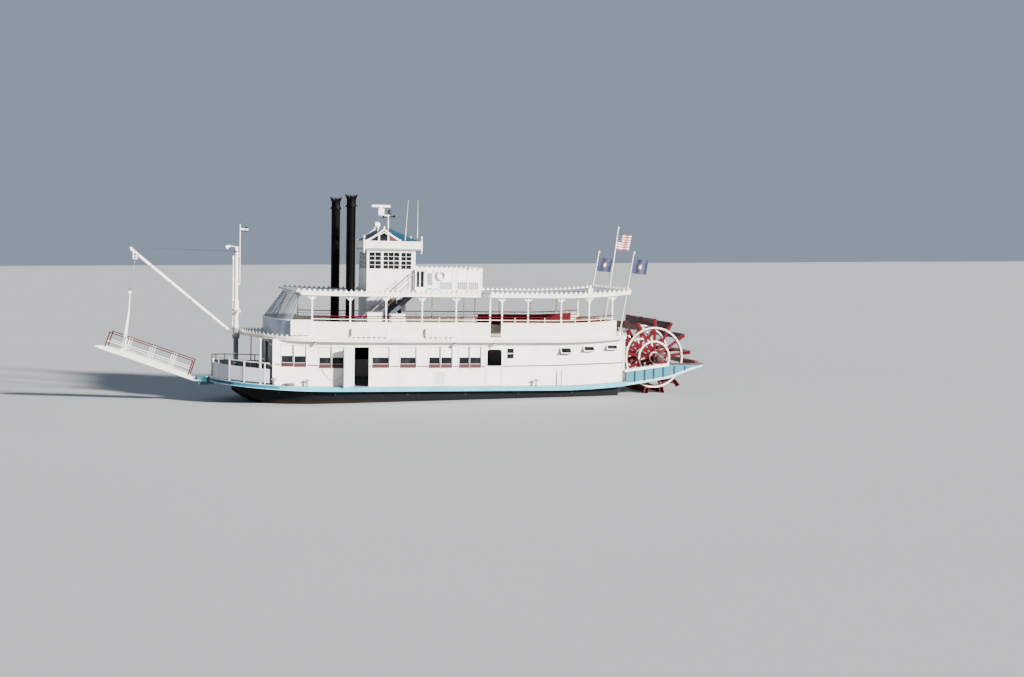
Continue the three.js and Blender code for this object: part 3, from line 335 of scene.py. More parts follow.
@dataclass(frozen=True)
class Paint:
    """Brushed marine paint that has stood outdoors: mottled, streaked by rain and dirtied in places."""

    name: str
    colour: Colour
    roughness: float = 0.42
    dirt: Colour = (0.33, 0.29, 0.22)
    streaks: float = 0.22
    mottle: float = 0.08
    rust: float = 0.0
    boards: float = 0.0
    zones: tuple[Zone, ...] = ()
    gloss: float = 0.45

    def material(self) -> bpy.types.Material:
        """Builds the paint's nodes."""
        shader = Shader(self.name)
        colour: object = self.colour
        for zone in self.zones:
            colour = shader.mix(zone.mask(shader), colour, zone.colour)
        cloud = shader.noise(0.9, detail=5.0)
        dark = shader.mix(1.0, colour, (1.0 - self.mottle * 2.2,) * 3, "MULTIPLY")
        colour = shader.mix(cloud.ramp(0.42, 0.8), colour, dark)
        runs = shader.noise(3.2, (2.4, 2.4, 0.16), 6.0, 0.62)
        fine = shader.noise(9.0, (3.0, 3.0, 0.3), 3.0)
        streak = runs.ramp(0.55, 0.78) * fine.ramp(0.35, 0.7) * self.streaks
        colour = shader.mix(streak, colour, self.dirt)
        if self.rust:
            spots = shader.noise(5.5, (1.0, 1.0, 0.45), 7.0, 0.68).ramp(0.66, 0.74) * self.rust
            colour = shader.mix(spots, colour, (0.2, 0.075, 0.03))
        brush = shader.noise(55.0, (1.0, 1.0, 0.3), 3.0)
        height = brush * 0.35 + cloud * 0.5
        if self.boards:
            seam = abs(shader.x.modulo(self.boards) - self.boards / 2)
            line = seam.ramp(0.004, 0.012)
            colour = shader.mix((1 - line) * 0.35, colour, self.dirt)
            height = height + line * 1.6
        rough = cloud.ramp(0.3, 0.8, self.roughness - 0.07, self.roughness + 0.12) + streak * 0.4
        return shader.finish(Base_Color=opaque(colour), Roughness=rough, Normal=shader.bump(height, 0.0012),
                             Specular_IOR_Level=self.gloss)


@dataclass(frozen=True)
class Timber:
    """Wet, weathered board with its grain across the boat."""

    name: str
    colour: Colour = (0.045, 0.011, 0.01)
    pale: Colour = (0.11, 0.028, 0.022)
    roughness: float = 0.5

    def material(self) -> bpy.types.Material:
        """Builds grain, knots and a damp sheen."""
        shader = Shader(self.name)
        grain = shader.noise(7.0, (9.0, 0.5, 9.0), 7.0, 0.65)
        patch = shader.noise(1.6, detail=4.0)
        colour = shader.mix(grain.ramp(0.38, 0.72), self.colour, self.pale)
        colour = shader.mix(patch.ramp(0.5, 0.72) * 0.55, colour, (0.02, 0.02, 0.018))
        rough = patch.ramp(0.35, 0.7, self.roughness + 0.18, self.roughness - 0.2)
        return shader.finish(Base_Color=colour, Roughness=rough, Normal=shader.bump(grain, 0.002))


@dataclass(frozen=True)
class Metal:
    """Bare, galvanised or blackened metal."""

    name: str
    colour: Colour
    roughness: float = 0.35
    metallic: float = 1.0

    def material(self) -> bpy.types.Material:
        """Builds spangle and handling marks."""
        shader = Shader(self.name)
        patch = shader.noise(14.0, detail=5.0)
        worn = tuple(part * 0.55 for part in self.colour)
        colour = shader.mix(patch.ramp(0.4, 0.75), self.colour, worn)
        rough = patch.ramp(0.3, 0.75, self.roughness, self.roughness + 0.22)
        return shader.finish(Base_Color=colour, Roughness=rough, Metallic=self.metallic,
                             Normal=shader.bump(patch, 0.0006))


@dataclass(frozen=True)
class Glass:
    """Glass with a dark room behind it, faintly dusty."""

    name: str
    colour: Colour = (0.006, 0.007, 0.009)
    alpha: float = 0.86
    gloss: float = 0.35

    def material(self) -> bpy.types.Material:
        """Builds the pane."""
        shader = Shader(self.name)
        dust = shader.noise(2.5, (1.0, 1.0, 0.5), 4.0)
        colour = shader.mix(dust.ramp(0.5, 0.8) * 0.25, self.colour, (0.09, 0.1, 0.11))
        return shader.finish(Base_Color=colour, Roughness=dust.ramp(0.3, 0.8, 0.03, 0.12), Alpha=self.alpha,
                             Specular_IOR_Level=self.gloss)


@dataclass(frozen=True)
class Vinyl:
    """Clear curtain vinyl that has gone milky, with its folds."""

    name: str
    colour: Colour = (0.09, 0.13, 0.2)

    def material(self) -> bpy.types.Material:
        """Builds the milky sheet."""
        shader = Shader(self.name)
        haze = shader.noise(1.8, (1.0, 1.0, 0.35), 5.0)
        colour = shader.mix(haze.ramp(0.35, 0.7), self.colour, (0.26, 0.34, 0.44))
        crease = shader.noise(7.0, (1.0, 1.0, 0.25), 4.0)
        return shader.finish(Base_Color=colour, Roughness=haze.ramp(0.3, 0.7, 0.16, 0.34),
                             Alpha=haze.ramp(0.3, 0.75, 0.62, 0.42), Normal=shader.bump(crease, 0.006))


class Emblem(Enum):
    """What a flag shows."""

    STRIPES = "stripes with a blue corner"
    ROUNDEL = "a plain gold roundel on blue"
    BANDS = "blue and white bands"


@dataclass(frozen=True)
class Bunting:
    """Woven flag cloth; its pattern follows the piece's own map, fly to the right."""

    name: str
    emblem: Emblem

    def material(self) -> bpy.types.Material:
        """Builds the weave and the flag's plain design."""
        shader = Shader(self.name)
        at = shader.node("ShaderNodeUVMap", {"uv_map": "cloth"}, {})
        u, v, _ = shader.parts(at)
        red, white = (0.42, 0.02, 0.035), (0.78, 0.76, 0.72)
        blue, gold = (0.005, 0.01, 0.06), (0.4, 0.2, 0.05)
        if self.emblem is Emblem.STRIPES:
            stripe = (v * 13.0).modulo(2.0).between(0.0, 1.0, 0.02)
            colour = shader.mix(stripe, white, red)
            corner = u.ramp(0.395, 0.4, 1.0, 0.0) * v.ramp(6 / 13, 6 / 13 + 0.005)
            dots = [abs((part * count).modulo(1.0) - 0.5) for part, count in ((u, 15.0), (v, 9.3))]
            dot = (dots[0] * dots[0] + dots[1] * dots[1]).ramp(0.012, 0.022, 1.0, 0.0)
            colour = shader.mix(corner, colour, shader.mix(dot, blue, white))
        elif self.emblem is Emblem.ROUNDEL:
            across, up = u - 0.5, (v - 0.5) * 0.69
            ring = (across * across + up * up) ** 0.5
            colour = shader.mix(ring.ramp(0.12, 0.125, 1.0, 0.0), blue, gold)
            colour = shader.mix(ring.ramp(0.06, 0.065, 1.0, 0.0), colour, white)
        else:
            colour = shader.mix(v.between(0.34, 0.66, 0.01), blue, white)
        weave = (abs((u * 420.0).modulo(2.0) - 1.0) + abs((v * 300.0).modulo(2.0) - 1.0)) * 0.5
        soil = shader.noise(3.0, detail=5.0)
        colour = shader.mix(soil.ramp(0.4, 0.8) * 0.25, colour, (0.2, 0.18, 0.16))
        return shader.finish(Base_Color=colour, Roughness=soil.ramp(0.3, 0.8, 0.78, 0.9),
                             Normal=shader.bump(weave, 0.0008), Sheen_Weight=0.3)


@dataclass(frozen=True)
class Laid:
    """Laid rope, with its strands slanting across it."""

    name: str
    colour: Colour = (0.24, 0.2, 0.15)

    def material(self) -> bpy.types.Material:
        """Builds the strands."""
        shader = Shader(self.name)
        strand = abs(((shader.x + shader.y * 0.6 + shader.z * 1.4) * 38.0).modulo(2.0) - 1.0)
        dirt = shader.noise(4.0, detail=5.0)
        colour = shader.mix(strand.ramp(0.2, 0.9), tuple(part * 0.45 for part in self.colour), self.colour)
        colour = shader.mix(dirt.ramp(0.45, 0.8) * 0.5, colour, (0.12, 0.1, 0.08))
        return shader.finish(Base_Color=colour, Roughness=dirt.ramp(0.3, 0.8, 0.8, 0.95),
                             Normal=shader.bump(strand, 0.004))


@dataclass(frozen=True)
class Finishes:
    """Every finish on the boat, made once and then found by its name."""

    white: Colour = (0.86, 0.83, 0.76)
    cream: Colour = (0.8, 0.755, 0.67)
    grey: Colour = (0.5, 0.53, 0.55)
    crimson: Colour = (0.075, 0.0003, 0.004)
    ring: Colour = (0.84, 0.8, 0.72)
    iron: Colour = (0.03, 0.024, 0.024)
    blue: Colour = (0.06, 0.42, 0.56)
    pale_blue: Colour = (0.13, 0.52, 0.6)
    blue_dirt: Colour = (0.2, 0.25, 0.26)

    def build(self) -> None:
        """Makes each material."""
        for finish in (*self.whites(), *self.reds(), *self.blues(), *self.darks(), *self.bare()):
            finish.material()

    def whites(self) -> tuple[Paint, ...]:
        """Paints of the house, the decks' edges and their fittings."""
        # Painted sky reflection: the canopies' top is painted blue-grey for the sky it reflects, seen at a
        # grazing angle.
        painted_sky_reflection = (Zone(Measure.LEVEL, 6.44, 6.9, (0.3, 0.35, 0.41), Measure.BREADTH, 0.0, 3.17),)
        bearing = (Zone(Measure.HEIGHT, 2.775, 3.5, (0.04, 0.004, 0.006), Measure.ALONG, -12.9, -12.2),
                   Zone(Measure.ALONG, -16.0, -13.2, (0.06, 0.006, 0.008), Measure.HEIGHT, 2.6, 3.0))
        # Painted shadow: dark bands on the bulwark's foot under the two lower lockers, where the lockers
        # shade it.
        painted_shadow_under_lids = tuple(Zone(Measure.ALONG, aft, forward, (0.16, 0.1, 0.12), Measure.LEVEL, 4.09, 4.19)
                           for aft, forward in ((2.53, 4.42), (-1.02, 0.53)))
        # Painted shade: the bulwark's rounded front, forward of 7.57, is painted blue-grey for the shade it
        # stands in.
        front = Zone(Measure.ALONG, 7.57, 8.9, (0.26, 0.33, 0.42))
        # Painted shade: the mast is painted dark blue-grey below the upper deck, where the deck shades it.
        painted_shade_below_deck = Zone(Measure.HEIGHT, 1.7, 4.2, (0.1, 0.12, 0.16))
        # Painted shadow: the upper cabin's wall is tinted blue-grey under the canopy, where the canopy's
        # shadow falls.
        painted_canopy_shadow = Zone(Measure.HEIGHT, 4.95, 6.6, (0.36, 0.4, 0.48))
        return (
            Paint("white paint", self.white, streaks=0.3, rust=0.05),
            Paint("panel white paint", self.white, streaks=0.32, boards=1.22, rust=0.05),
            Paint("cream paint", self.cream, streaks=0.35, rust=0.06),
            Paint("bulwark cream paint", self.cream, streaks=0.35, boards=1.22, rust=0.05,
                  zones=(*painted_shadow_under_lids, front)),
            Paint("mast paint", self.white, streaks=0.3, zones=(painted_shade_below_deck,)),
            Paint("timber paint", self.white, streaks=0.3, rust=0.05, zones=bearing),
            Paint("cabin paint", self.white, streaks=0.3, zones=(painted_canopy_shadow,)),
            Paint("canopy paint", self.white, streaks=0.25, mottle=0.12, zones=painted_sky_reflection),
            Paint("sash paint", (0.7, 0.69, 0.66), 0.45),
            Paint("blind cloth", (0.84, 0.82, 0.76), 0.85, streaks=0.12),
        )

    def reds(self) -> tuple[Union[Paint, Timber], ...]:
        """Crimson paints, and the wheel's boards."""
        rings = ((1.594, 1.671, self.ring), (0.84, 0.923, self.ring), (0.23, 0.305, self.ring),
                 (0.0, 0.226, self.iron))
        wheel_rings = tuple(Zone(Measure.WHEEL, *row) for row in rings)
        return (
            Paint("crimson paint", self.crimson, 0.5, (0.07, 0.003, 0.006), 0.3, gloss=0.1),
            Paint("stripe paint", (0.12, 0.002, 0.007), 0.45, (0.06, 0.02, 0.02)),
            Paint("dull crimson paint", (0.05, 0.003, 0.006), 0.5, (0.03, 0.012, 0.012)),
            Paint("wheel paint", self.crimson, 0.5, (0.06, 0.003, 0.005), 0.35, gloss=0.1, zones=wheel_rings),
            Timber("bucket boards"),
            Timber("beam timber", (0.045, 0.003, 0.005), (0.08, 0.007, 0.009)),
        )

    def blues(self) -> tuple[Paint, ...]:
        """Paints of the guard round the deck, the timbers' panels and the roof."""
        # The guard's band is blue paint; the two darker bands forward of 8.1 and 10.35 are painted shade,
        # where the guard turns to face forward.
        band = tuple(Zone(Measure.LEVEL, 1.2, 1.584, shade, Measure.ALONG, aft, 12.0) for shade, aft in (
            (self.blue, -16.0), ((0.01, 0.15, 0.27), 8.1), ((0.006, 0.04, 0.09), 10.35)))
        # Painted shade: the tongue under the turntable is painted near black, for the shade under the
        # platform.
        painted_shade_tongue = Zone(Measure.ALONG, 11.43, 12.2, (0.03, 0.06, 0.09), Measure.HEIGHT, 1.3, 1.72)
        eaves = Zone(Measure.HEIGHT, 8.5, 9.145, self.white)
        return (
            Paint("platform paint", self.pale_blue, 0.45, self.blue_dirt, 0.2),
            Paint("deck paint", (0.2, 0.22, 0.25), 0.55, streaks=0.1, mottle=0.12, zones=(*band, painted_shade_tongue)),
            Paint("guard blue paint", self.blue, 0.4, self.blue_dirt, 0.35, rust=0.1),
            Paint("pale guard paint", (0.3, 0.62, 0.67), 0.4, self.blue_dirt, 0.3),
            Paint("panel blue paint", (0.02, 0.17, 0.22), 0.42, (0.06, 0.16, 0.18), 0.3, mottle=0.14),
            Paint("dark blue paint", (0.003, 0.02, 0.05), 0.45, (0.03, 0.04, 0.05)),
            Paint("roof paint", (0.006, 0.045, 0.09), 0.45, (0.03, 0.06, 0.08), 0.3, 0.16, zones=(eaves,)),
        )

    def darks(self) -> tuple[Paint, ...]:
        """Greys, browns and blacks."""
        rails = Zone(Measure.LEVEL, 2.42, 2.9, (0.66, 0.54, 0.54))
        boot = Zone(Measure.HEIGHT, -0.1, 0.86, (0.014, 0.01, 0.008))
        return (
            # Grey paint; it also serves as painted shade, on the stair's rails and in the windows' channels.
            Paint("rail grey paint and painted shade", (0.24, 0.22, 0.24), 0.5),
            Paint("dark door paint", (0.05, 0.032, 0.03), 0.5, (0.02, 0.015, 0.015)),
            Paint("grey paint", self.grey, 0.5, streaks=0.3),
            # Painted shade: a dark grey for the house's front wall, which stands in shade.
            Paint("painted shade grey", (0.07, 0.08, 0.1), 0.5),
            Paint("pipe grey paint", (0.04, 0.04, 0.042), 0.5),
            Paint("infill grey paint", (0.22, 0.23, 0.27), 0.6),
            # Painted shade: the stair under the canopy is painted dark blue-grey for the canopy's shade on
            # it.
            Paint("stair painted shade", (0.045, 0.055, 0.08), 0.6, (0.03, 0.03, 0.03), gloss=0.2),
            Paint("foredeck paint", (0.47, 0.5, 0.54), 0.5, streaks=0.3, zones=(rails,)),
            Paint("hull paint", (0.005, 0.0055, 0.007), 0.36, (0.03, 0.024, 0.018), 0.4, 0.2, 0.25,
                  zones=(boot,), gloss=0.12),
            Paint("stack paint", (0.0018, 0.0018, 0.002), 0.5, (0.008, 0.007, 0.006), 0.3, 0.2, 0.1,
                  gloss=0.06),
        )

    def bare(self) -> tuple[Union[Metal, Glass, Vinyl, Laid, Bunting], ...]:
        """Metals, glass, curtain, rope and flags."""
        return (
            Metal("galvanised steel", (0.42, 0.43, 0.44)),
            Metal("black iron", (0.025, 0.025, 0.027), 0.5, 0.6),
            Metal("bronze", (0.4, 0.22, 0.08), 0.3),
            # Dark glass; the same dark sheet also fills openings as painted shade.
            Glass("dark glass and painted shade", alpha=1.0, gloss=0.14),
            Glass("room glass", alpha=0.72),
            Glass("lamp glass", (0.5, 0.52, 0.5), 0.9),
            Vinyl("curtain vinyl"),
            Laid("hemp rope"),
            Laid("white line", (0.6, 0.62, 0.6)),
            Bunting("striped flag", Emblem.STRIPES),
            Bunting("roundel flag", Emblem.ROUNDEL),
            Bunting("banded flag", Emblem.BANDS),
        )


class Shape:
    """A mesh under construction, in the boat's own frame."""

    def __init__(self) -> None:
        """Starts with nothing."""
        self.mesh = bmesh.new()

    def box(self, low: Point, high: Point) -> "Shape":
        """Adds a block between two opposite corners."""
        size = [abs(b - a) for a, b in zip(low, high)]
        middle = [(a + b) / 2 for a, b in zip(low, high)]
        matrix = Matrix.Translation(middle) @ Matrix.Diagonal((*size, 1.0))
        bmesh.ops.create_cube(self.mesh, size=1.0, matrix=matrix)
        return self

    def bar(self, start: Point, end: Point, radius: float, sides: int = 16,
            end_radius: float | None = None) -> "Shape":
        """Adds a round bar, or a cone where the end's radius is given."""
        a, b = Vector(start), Vector(end)
        along = b - a
        matrix = Matrix.Translation((a + b) / 2) @ facing(along)
        far = radius if end_radius is None else end_radius
        bmesh.ops.create_cone(self.mesh, cap_ends=True, segments=sides, radius1=radius, radius2=far,
                              depth=along.length, matrix=matrix)
        return self

    def ball(self, centre: Point, radius: float, stretch: Point = (1.0, 1.0, 1.0),
             sides: int = 16) -> "Shape":
        """Adds a ball, or an egg where it is stretched."""
        matrix = Matrix.Translation(centre) @ Matrix.Diagonal((*stretch, 1.0))
        bmesh.ops.create_uvsphere(self.mesh, u_segments=sides, v_segments=sides // 2, radius=radius,
                                  matrix=matrix)
        return self

    def plate(self, outline: Sequence[Point], thickness: Point) -> "Shape":
        """Adds a flat outline, given thickness along a vector."""
        corners = [self.mesh.verts.new(point) for point in outline]
        face = self.mesh.faces.new(corners)
        grown = bmesh.ops.extrude_face_region(self.mesh, geom=[face], use_keep_orig=True)
        moved = [part for part in grown["geom"] if isinstance(part, bmesh.types.BMVert)]
        bmesh.ops.translate(self.mesh, verts=moved, vec=thickness)
        return self

    def slab(self, x: Pair, y: Pair, low: Sequence[float], high: Sequence[float]) -> "Shape":
        """Adds an upright slab along the boat, whose foot and head are given at both of its ends."""
        outline = [(x[0], y[0], low[0]), (x[1], y[0], low[1]), (x[1], y[0], high[1]), (x[0], y[0], high[0])]
        return self.plate(outline, (0.0, y[1] - y[0], 0.0))

    def ring(self, low: Pair, high: Pair, width: float, near: float,
             far: float, axis: int = 1) -> "Shape":
        """Adds a rectangular frame of four mitred boards round an opening.

        Args:
            low: The opening's low corner, in its plane.
            high: Its high corner.
            width: The boards' width, outwards.
            near: Near face, across the plane.
            far: Far face.
            axis: The axis that the frame faces, 0 or 1.

        Returns:
            This shape.
        """
        inner = [(low[0], low[1]), (high[0], low[1]), (high[0], high[1]), (low[0], high[1])]
        signs = [(-1, -1), (1, -1), (1, 1), (-1, 1)]
        outer = [(a + sa * width, b + sb * width) for (a, b), (sa, sb) in zip(inner, signs)]

        def spot(pair: Pair) -> Point:
            """A pair in the frame's plane as a point."""
            return (near, pair[0], pair[1]) if axis == 0 else (pair[0], near, pair[1])

        depth = (far - near, 0.0, 0.0) if axis == 0 else (0.0, far - near, 0.0)
        for k in range(4):
            after = (k + 1) % 4
            self.plate([spot(inner[k]), spot(inner[after]), spot(outer[after]), spot(outer[k])], depth)
        return self

    def lathe(self, profile: Line, centre: Pair, steps: int = 32) -> "Shape":
        """Adds a profile of (radius, height) points turned about an upright axis."""
        corners = [self.mesh.verts.new((centre[0] + radius, centre[1], height)) for radius, height in profile]
        edges = [self.mesh.edges.new(pair) for pair in zip(corners, corners[1:])]
        bmesh.ops.spin(self.mesh, geom=corners + edges, cent=(*centre, 0.0), axis=(0, 0, 1), angle=TURN,
                       steps=steps, use_merge=True)
        bmesh.ops.remove_doubles(self.mesh, verts=self.mesh.verts, dist=1e-5)
        return self

    def strip(self, path: Line, width: float, low: float, high: float,
              sheer: bool = True) -> "Shape":
        """Sweeps an upright rectangle along a plan path, to the right of its direction.

        Args:
            path: Plan points.
            width: The rectangle's width, measured away from the path.
            low: Its foot, above the sheer.
            high: Its head.
            sheer: Whether it rises with the decks.

        Returns:
            This shape.
        """
        places = with_stations(path)
        rows = []
        for k, (x, y) in enumerate(places):
            before, after = places[max(0, k - 1)], places[min(len(places) - 1, k + 1)]
            into = Vector((x - before[0], y - before[1]))
            out = Vector((after[0] - x, after[1] - y))
            first = into.normalized() if into.length > 1e-6 else out.normalized()
            second = out.normalized() if out.length > 1e-6 else first
            mitre = Vector((first.y + second.y, -first.x - second.x)).normalized()
            reach = width / max(0.5, mitre.dot(Vector((first.y, -first.x))))
            far = (x + mitre.x * reach, y + mitre.y * reach)
            near_rise, far_rise = (SHEER.lift(x), SHEER.lift(far[0])) if sheer else (0.0, 0.0)
            section = ((x, y, low + near_rise), (*far, low + far_rise),
                       (*far, high + far_rise), (x, y, high + near_rise))
            rows.append([self.mesh.verts.new(point) for point in section])
        for here, there in zip(rows, rows[1:]):
            for k in range(4):
                after = (k + 1) % 4
                self.mesh.faces.new((here[k], here[after], there[after], there[k]))
        self.mesh.faces.new(rows[0][::-1])
        self.mesh.faces.new(rows[-1])
        return self

    def torus(self, centre: Point, radius: float, thickness: float, axis: str = "Y",
              steps: int = 40) -> "Shape":
        """Adds a ring that faces along an axis."""
        section = [(radius + out, up) for out, up in round_about(12, thickness)]
        ring = Shape().lathe([*section, section[0]], (0.0, 0.0), steps)
        turn = Matrix.Rotation(math.pi / 2, 4, "X") if axis == "Y" else Matrix.Identity(4)
        return self.join(ring, Matrix.Translation(centre) @ turn)

    def join(self, other: "Shape", matrix: Matrix) -> "Shape":
        """Adds a copy of another shape, moved by a matrix."""
        spare = bpy.data.meshes.new("spare")
        other.mesh.to_mesh(spare)
        spare.transform(matrix)
        self.mesh.from_mesh(spare)
        bpy.data.meshes.remove(spare)
        return self

    def both_sides(self) -> "Shape":
        """Adds the mirror image on the other side of the boat."""
        parts = [*self.mesh.verts, *self.mesh.edges, *self.mesh.faces]
        copy = bmesh.ops.duplicate(self.mesh, geom=parts)["geom"]
        moved = [part for part in copy if isinstance(part, bmesh.types.BMVert)]
        bmesh.ops.scale(self.mesh, verts=moved, vec=(1, -1, 1))
        return self

    def piece(self, name: str, slot: str = "house_white", finish: str = "white paint", body: str = "boat",
              bevel: float = 0.0, stands_for: Sequence[str] = ()) -> bpy.types.Object:
        """Makes the shape a piece of the boat.

        Args:
            name: The piece's name.
            slot: The record's material slot; not used.
            finish: Its finish, by name.
            body: The body that it rides on.
            bevel: Width of the rounding on its edges.
            stands_for: Nodes of the frame that it replaces.

        Returns:
            The piece.
        """
        bmesh.ops.recalc_face_normals(self.mesh, faces=self.mesh.faces)
        mesh = bpy.data.meshes.new(name)
        self.mesh.to_mesh(mesh)
        self.mesh.free()
        return register(name, mesh, finish, body, bevel, stands_for)


def register(name: str, mesh: bpy.types.Mesh, finish: str, body: str = "boat", bevel: float = 0.0,
             stands_for: Sequence[str] = ()) -> bpy.types.Object:
    """Puts a mesh in the scene as a piece, smooth where it is round; see Shape.piece for the rest."""
    piece = bpy.data.objects.new(name, mesh)
    bpy.context.scene.collection.objects.link(piece)
    mesh.materials.append(bpy.data.materials[finish])
    mesh.polygons.foreach_set("use_smooth", [True] * len(mesh.polygons))
    mesh.set_sharp_from_angle(angle=math.radians(32))
    if bevel:
        rounding = piece.modifiers.new("rounding", "BEVEL")
        rounding.width = bevel
        rounding.segments = 2
        rounding.limit_method = "ANGLE"
        rounding.angle_limit = math.radians(40)
    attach(piece, body)
    if stands_for:
        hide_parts(*stands_for)
    LOG.info("%s on %s: %d faces", name, body, len(mesh.polygons))
    return piece


@dataclass
class Tubes:
    """Round lines such as rails, wires and ropes, one curve of several runs."""

    radius: float
    runs: list[Sequence[Point]] = field(default_factory=list)
    resolution: int = 3

    def add(self, *points: Point) -> "Tubes":
        """Adds a run through the points."""
        self.runs.append(points)
        return self

    def sheer(self, x_from: float, x_to: float, y: float, level: float) -> "Tubes":
        """Adds a run along the boat at a level above the sheer."""
        inner = [x for x in SHEER.stations if x_from < x < x_to]
        return self.add(*((x, y, level + SHEER.lift(x)) for x in (x_from, *inner, x_to)))

    def piece(self, name: str, slot: str = "house_white", finish: str = "white paint", body: str = "boat",
              stands_for: Sequence[str] = ()) -> bpy.types.Object:
        """Makes the runs one piece, as a mesh; see Shape.piece."""
        curve = bpy.data.curves.new(name, "CURVE")
        curve.dimensions = "3D"
        curve.bevel_depth = self.radius
        curve.bevel_resolution = self.resolution
        curve.use_fill_caps = True
        for points in self.runs:
            spline = curve.splines.new("POLY")
            spline.points.add(len(points) - 1)
            for spot, point in zip(spline.points, points):
                spot.co = (*point, 1.0)
        holder = bpy.data.objects.new(name + " line", curve)
        bpy.context.scene.collection.objects.link(holder)
        mesh = bpy.data.meshes.new_from_object(holder.evaluated_get(bpy.context.evaluated_depsgraph_get()))
        mesh.name = name
        bpy.data.objects.remove(holder)
        bpy.data.curves.remove(curve)
        mesh.materials.clear()
        return register(name, mesh, finish, body, 0.0, stands_for)


def polish(node: str, finish: str, slot: str, body: str = "boat", bevel: float = 0.004) -> None:
    """Stands a merged, round-edged copy for a node of the frame.

    Args:
        node: The node.
        finish: The copy's finish, by name.
        slot: The record's slot; not used.
        body: The body that it rides on.
        bevel: Width of the rounding on its edges.
    """
    copy = bmesh.new()
    copy.from_mesh(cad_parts[node].data)
    bmesh.ops.remove_doubles(copy, verts=copy.verts, dist=1e-5)
    bmesh.ops.dissolve_limit(copy, angle_limit=math.radians(0.5), verts=copy.verts, edges=copy.edges)
    mesh = bpy.data.meshes.new(node + " dressed")
    copy.to_mesh(mesh)
    copy.free()
    mesh.materials.clear()
    register(node + "_dressed", mesh, finish, body, bevel, (node,))


@dataclass(frozen=True)
class FrameNodes:
    """The frame's own nodes, each with its finish; round-edged copies stand for them."""

    # Node, finish, slot, then body and rounding where they aren't the boat and 4 mm; {side} is each side
    rows: tuple[tuple[Union[str, float], ...], ...] = (
        ("hull", "hull paint", "hull_black", "boat", 0.01),
        ("main_deck", "deck paint", "deck_blue", "boat", 0.008),
        ("stern_frame", "timber paint", "house_white", "boat", 0.008),
        ("house_wall_{side}", "panel white paint", "house_white", "boat", 0.0),
        # The house's front wall takes painted shade: dark grey for the shade on it.
        ("house_wall_front", "painted shade grey", "house_white"),
        ("house_wall_aft", "white paint", "house_white"),
        ("engine", "grey paint", "steel", "boat", 0.02),
        ("upper_deck", "cream paint", "trim_cream"),
        ("upper_bulwark", "bulwark cream paint", "trim_cream"),
        ("canopy_forward", "canopy paint", "house_white"),
        ("canopy_aft", "canopy paint", "house_white"),
        ("upper_cabin", "cabin paint", "house_white"),
        ("pilothouse_wall_{side}", "white paint", "house_white"),
        ("pilothouse_wall_front", "white paint", "house_white"),
        ("pilothouse_wall_aft", "white paint", "house_white"),
        ("pilothouse_roof", "roof paint", "roof_teal"),
        ("radar_mast", "white paint", "house_white", "boat", 0.006),
        ("radar_scanner", "white paint", "house_white", "radar", 0.012),
        ("roof_railing", "white paint", "house_white"),
        # The stair takes painted shade, dark blue-grey for the canopy's shade.
        ("roof_stair", "stair painted shade", "house_white", "boat", 0.003),
        # The stair's rails are grey for the shade on them: painted shade.
        ("stair_rail_inner", "rail grey paint and painted shade", "house_white", "boat", 0.0),
        ("stair_rail_outer", "rail grey paint and painted shade", "house_white", "boat", 0.0),
        ("bench_{side}", "crimson paint", "bench_red"),
        ("foredeck_bulwark_{side}", "foredeck paint", "bulwark_grey", "boat", 0.003),
        ("mast", "mast paint", "house_white"),
        ("boom_swivel", "rail grey paint and painted shade", "house_white", "boom_gear"),
        ("boom", "white paint", "house_white", "boom_gear"),
        ("topping_lift", "galvanised steel", "steel", "boom_gear", 0.0),
        ("boom_fall", "galvanised steel", "steel", "boom_gear", 0.0),
        ("stage_turntable", "platform paint", "bulwark_grey", "turntable"),
        ("stage_frame", "white paint", "house_white", "stage"),
        ("wheel_shaft", "black iron", "steel", "paddle_wheel"),
        ("wheel_frame_port", "wheel paint", "wheel_red", "paddle_wheel"),
        ("wheel_frame_middle", "wheel paint", "wheel_timber", "paddle_wheel"),
        ("wheel_frame_starboard", "wheel paint", "wheel_red", "paddle_wheel"),
        ("rudder_{side}", "hull paint", "hull_black", "{side}_rudder"),
        ("side_door_{side}", "grey paint", "bulwark_grey", "{side}_side_door", 0.003),
        ("half_door_{side}", "white paint", "bulwark_grey", "{side}_half_door", 0.003),
        ("pilothouse_door", "white paint", "house_white", "pilothouse_aft_door", 0.003),
        ("flagpole_port", "white paint", "house_white", "boat", 0.0),
        ("flagpole_centre", "white paint", "house_white", "boat", 0.0),
        ("flagpole_starboard", "white paint", "house_white", "boat", 0.0),
        ("stack_{side}", "stack paint", "stack_black", "boat", 0.003),
    )

    def build(self) -> None:
        """Gives every node a finish."""
        for row in self.rows:
            for side in ("port", "starboard") if "{side}" in row[0] else ("",):
                polish(*(part.format(side=side) if isinstance(part, str) else part for part in row))


def arc_points(half: float, centre: float, length: float, steps: int = 48) -> list[Pair]:
    """Plan points round a deck's rounded forward end, from port to starboard."""
    turns = [math.pi / 2 - math.pi * k / steps for k in range(steps + 1)]
    return [(centre + length * math.cos(turn), half * math.sin(turn)) for turn in turns]


def evenly(path: Line, pitch: float) -> list[tuple[float, float, float, float]]:
    """Places at an even pitch along a plan path.

    Args:
        path: Plan points.
        pitch: The wanted distance, which is stretched a little to fit.

    Returns:
        Rows of x, y and the unit direction along the path, at the middle of each pitch.
    """
    lengths = [math.dist(a, b) for a, b in zip(path, path[1:])]
    count = max(1, round(sum(lengths) / pitch))
    step = sum(lengths) / count
    rows: list[tuple[float, float, float, float]] = []
    run, index = 0.0, 0
    for k in range(count):
        target = (k + 0.5) * step
        while index < len(lengths) - 1 and run + lengths[index] < target:
            run += lengths[index]
            index += 1
        (x0, y0), (x1, y1) = path[index], path[index + 1]
        share = (target - run) / lengths[index]
        across = ((x1 - x0) / lengths[index], (y1 - y0) / lengths[index])
        rows.append((x0 + (x1 - x0) * share, y0 + (y1 - y0) * share, *across))
    return rows


